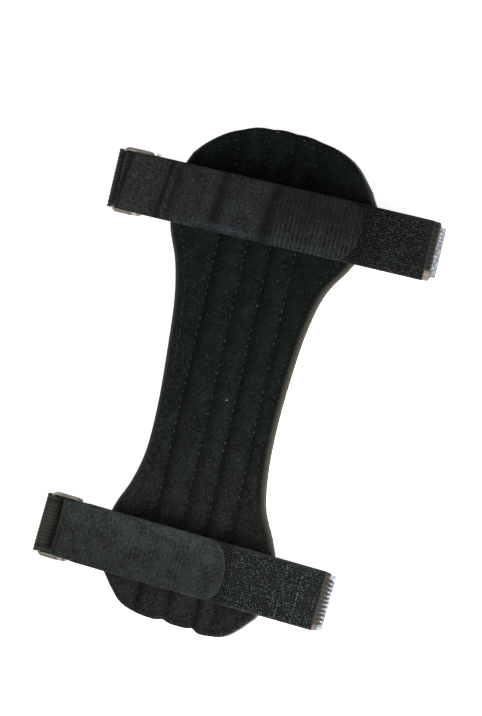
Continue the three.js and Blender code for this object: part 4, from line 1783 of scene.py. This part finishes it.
class ARMGUARD_OT_wire_rings(bpy.types.Operator):
    """Builds the two wire rings: round wire along a rounded rectangle"""

    bl_idname = "armguard.wire_rings"
    bl_label = "Wire rings"

    def execute(self, context):
        metal = nickel_finish()
        half_x, half_y = RING_SPAN / 2 - RING_CORNER, RING_LENGTH / 2 - RING_CORNER
        corners = (
            (half_x, half_y, 0),
            (-half_x, half_y, 90),
            (-half_x, -half_y, 180),
            (half_x, -half_y, 270),
        )
        path = np.concatenate(
            [
                arc((x, y), RING_CORNER, start, start + 90, RING_CORNER_STEPS)
                for x, y, start in corners
            ]
        )
        path = resample(path, RING_STEP)
        # Painted highlight: where the bright spot is painted on each ring's wire
        painted_highlight = groove(np.hypot(path[:, 0] - PAINTED_HIGHLIGHT_X, path[:, 1] - PAINTED_HIGHLIGHT_Y), PAINTED_HIGHLIGHT_RADIUS)
        marks = {"painted_highlight": np.repeat(painted_highlight, RING_SIDES)}
        for strap in STRAPS:
            layout = strap_layout(strap)
            turn, tilt = radians(strap.turn), layout.tilt
            x = (layout.bar_x + layout.low_bar_x) / 2 + path[:, 0] * cos(tilt)
            z = (layout.bar_z + layout.low_bar_z) / 2 + path[:, 0] * sin(tilt)
            centres = on_guard(strap, x, path[:, 1], z)
            plane = np.array([-sin(tilt) * cos(turn), -sin(tilt) * sin(turn), cos(tilt)])
            shape = tubes(centres[None], plane[None], WIRE_RADIUS, RING_SIDES, closed=True)
            name = strap.name
            add_piece(
                f"{name}_wire_ring", shape, [metal], f"{name}_ring", marks=marks
            )
        return {"FINISHED"}


def fibre_tuft(route, x, count, reach):
    """Fibres that stand out of a tape's upper edge about x, each a parabola along the tape.

    A fibre is (along + s b, half + s r, s h) plus s^2 of its curl along, for s from 0 to 1.
    """
    random = np.random.default_rng(TUFT_SEED)
    on_top = route.lengths > route.tab_start
    along = np.interp(x, route.x[on_top], route.lengths[on_top])
    along = along + random.uniform(-TUFT_SPREAD, TUFT_SPREAD, (count, 1))
    half = tape_half_widths(route, along)
    share = np.linspace(0, 1, FIBRE_POINTS)
    draws = random.uniform(FIBRE_LOW, FIBRE_HIGH, (count, len(FIBRE_LOW)))
    out, lean, lift, curl = draws.T[..., None]
    centres = on_route(
        route,
        along + reach * (lean * share + curl * share**2),
        half - TUFT_INSET + reach * out * share,
        reach * lift * share,
    )
    to_end = centres[:, -1] - centres[:, 0]
    to_middle = centres[:, FIBRE_POINTS // 2] - centres[:, 0]
    return tubes(centres, unit(np.cross(to_end, to_middle)), FIBRE_RADIUS, FIBRE_SIDES)


class ARMGUARD_OT_loose_fibres(bpy.types.Operator):
    """Scatters frayed tufts where the tapes leave the rings, and lint on the lining"""

    bl_idname = "armguard.loose_fibres"
    bl_label = "Loose fibres"

    def execute(self, context):
        yarn = thread_finish("loose_fibre", colours().fibre)
        for strap, (x, count, reach) in zip(STRAPS, TUFTS):
            route = tape_route(strap, strap_layout(strap))
            shape = fibre_tuft(route, x, count, reach)
            marks = {"tint": np.full(len(shape[0]), EVEN_TINT)}
            add_piece(f"{strap.name}_tuft", shape, [yarn], marks=marks)
        x, y, heading = LINT.T
        shape = arches(on_lining, x, y, heading, LINT_LENGTH, LINT_RISE, LINT_RADIUS)
        marks = {"tint": np.full(len(shape[0]), LINT_TINT)}
        add_piece("lint", shape, [yarn], marks=marks)
        return {"FINISHED"}


class ARMGUARD_OT_stage(bpy.types.Operator):
    """Sets the pale floor, the soft light and the camera"""

    bl_idname = "armguard.stage"
    bl_label = "Stage"

    def execute(self, context):
        stage = context.scene.arm_guard.stage
        self.floor()
        self.light(context.scene, stage)
        self.camera(context.scene, stage)
        return {"FINISHED"}

    def floor(self):
        mesh = bpy.data.meshes.new("floor")
        half = FLOOR_HALF
        corners = [(-half, -half, 0), (half, -half, 0), (half, half, 0), (-half, half, 0)]
        mesh.from_pydata(corners, [], [(0, 1, 2, 3)])
        mesh.materials.append(floor_finish())
        floor = bpy.data.objects.new("floor", mesh)
        bpy.context.scene.collection.objects.link(floor)

    def light(self, scene, stage):
        """A white sky and three square lights, each with its side and place in metres."""
        world = bpy.data.worlds.new("soft_white")
        world.use_nodes = True
        sky = world.node_tree.nodes["Background"]
        sky.inputs["Color"].default_value = (1.0, 1.0, 1.0, 1.0)
        sky.inputs["Strength"].default_value = stage.sky
        scene.world = world
        scene.view_settings.view_transform = "Standard"
        for name, power, size, place in (
            ("key", stage.key, 0.4, (0.42, -0.14, 0.28)),
            ("low", stage.low, 0.25, (0.18, -0.24, 0.26)),
            ("fill", stage.fill, 0.3, (-0.42, 0.04, 0.2)),
        ):
            light = bpy.data.lights.new(name, "AREA")
            light.energy = power
            light.size = size
            lamp = bpy.data.objects.new(name, light)
            lamp.location = Vector(place)
            lamp.rotation_euler = lamp.location.to_track_quat("Z", "Y").to_euler()
            scene.collection.objects.link(lamp)

    def camera(self, scene, stage):
        lens = bpy.data.cameras.new("view")
        lens.sensor_fit = "VERTICAL"
        lens.sensor_height = 36.0
        lens.lens = lens.sensor_height * stage.distance / stage.picture_height
        lens.clip_start = 0.01
        camera = bpy.data.objects.new("view", lens)
        toward = Vector((sin(stage.tilt), 0, cos(stage.tilt)))
        level = Vector((cos(stage.tilt), 0, -sin(stage.tilt)))
        length = Vector((0, 1, 0))
        right = level * cos(stage.turn) + length * sin(stage.turn)
        up = length * cos(stage.turn) - level * sin(stage.turn)
        middle = Vector(VIEW_MIDDLE) * MM
        axes = Matrix((right, up, toward)).transposed().to_4x4()
        camera.matrix_world = Matrix.Translation(middle + toward * stage.distance) @ axes
        scene.collection.objects.link(camera)
        scene.camera = camera


OPERATORS = (
    ARMGUARD_OT_front_leather,
    ARMGUARD_OT_quilted_lining,
    ARMGUARD_OT_seam_threads,
    ARMGUARD_OT_tapes,
    ARMGUARD_OT_ribbed_elastics,
    ARMGUARD_OT_wire_rings,
    ARMGUARD_OT_loose_fibres,
    ARMGUARD_OT_stage,
)


class ARMGUARD_PT_sidebar(bpy.types.Panel):
    """Lists the guard's settings and the steps that build it"""

    bl_idname = "ARMGUARD_PT_sidebar"
    bl_label = "Arm guard"
    bl_space_type = "VIEW_3D"
    bl_region_type = "UI"
    bl_category = "Arm guard"

    def draw(self, context):
        settings = context.scene.arm_guard
        for group in (settings.guard, settings.straps, settings.finishes, settings.stage):
            box = self.layout.box()
            for name in group.__annotations__:
                box.prop(group, name)
        for operator in OPERATORS:
            self.layout.operator(operator.bl_idname)


SETTINGS = (GuardSettings, StrapSettings, FinishSettings, StageSettings, ArmGuardSettings)
CLASSES = SETTINGS + OPERATORS + (ARMGUARD_PT_sidebar,)


def register():
    for cls in CLASSES:
        bpy.utils.register_class(cls)
    bpy.types.Scene.arm_guard = PointerProperty(type=ArmGuardSettings)


def unregister():
    del bpy.types.Scene.arm_guard
    for cls in reversed(CLASSES):
        bpy.utils.unregister_class(cls)


def main():
    register()
    bpy.ops.armguard.front_leather()
    bpy.ops.armguard.quilted_lining()
    bpy.ops.armguard.seam_threads()
    bpy.ops.armguard.tapes()
    bpy.ops.armguard.ribbed_elastics()
    bpy.ops.armguard.wire_rings()
    bpy.ops.armguard.loose_fibres()
    bpy.ops.armguard.stage()


if __name__ == "__main__":
    main()
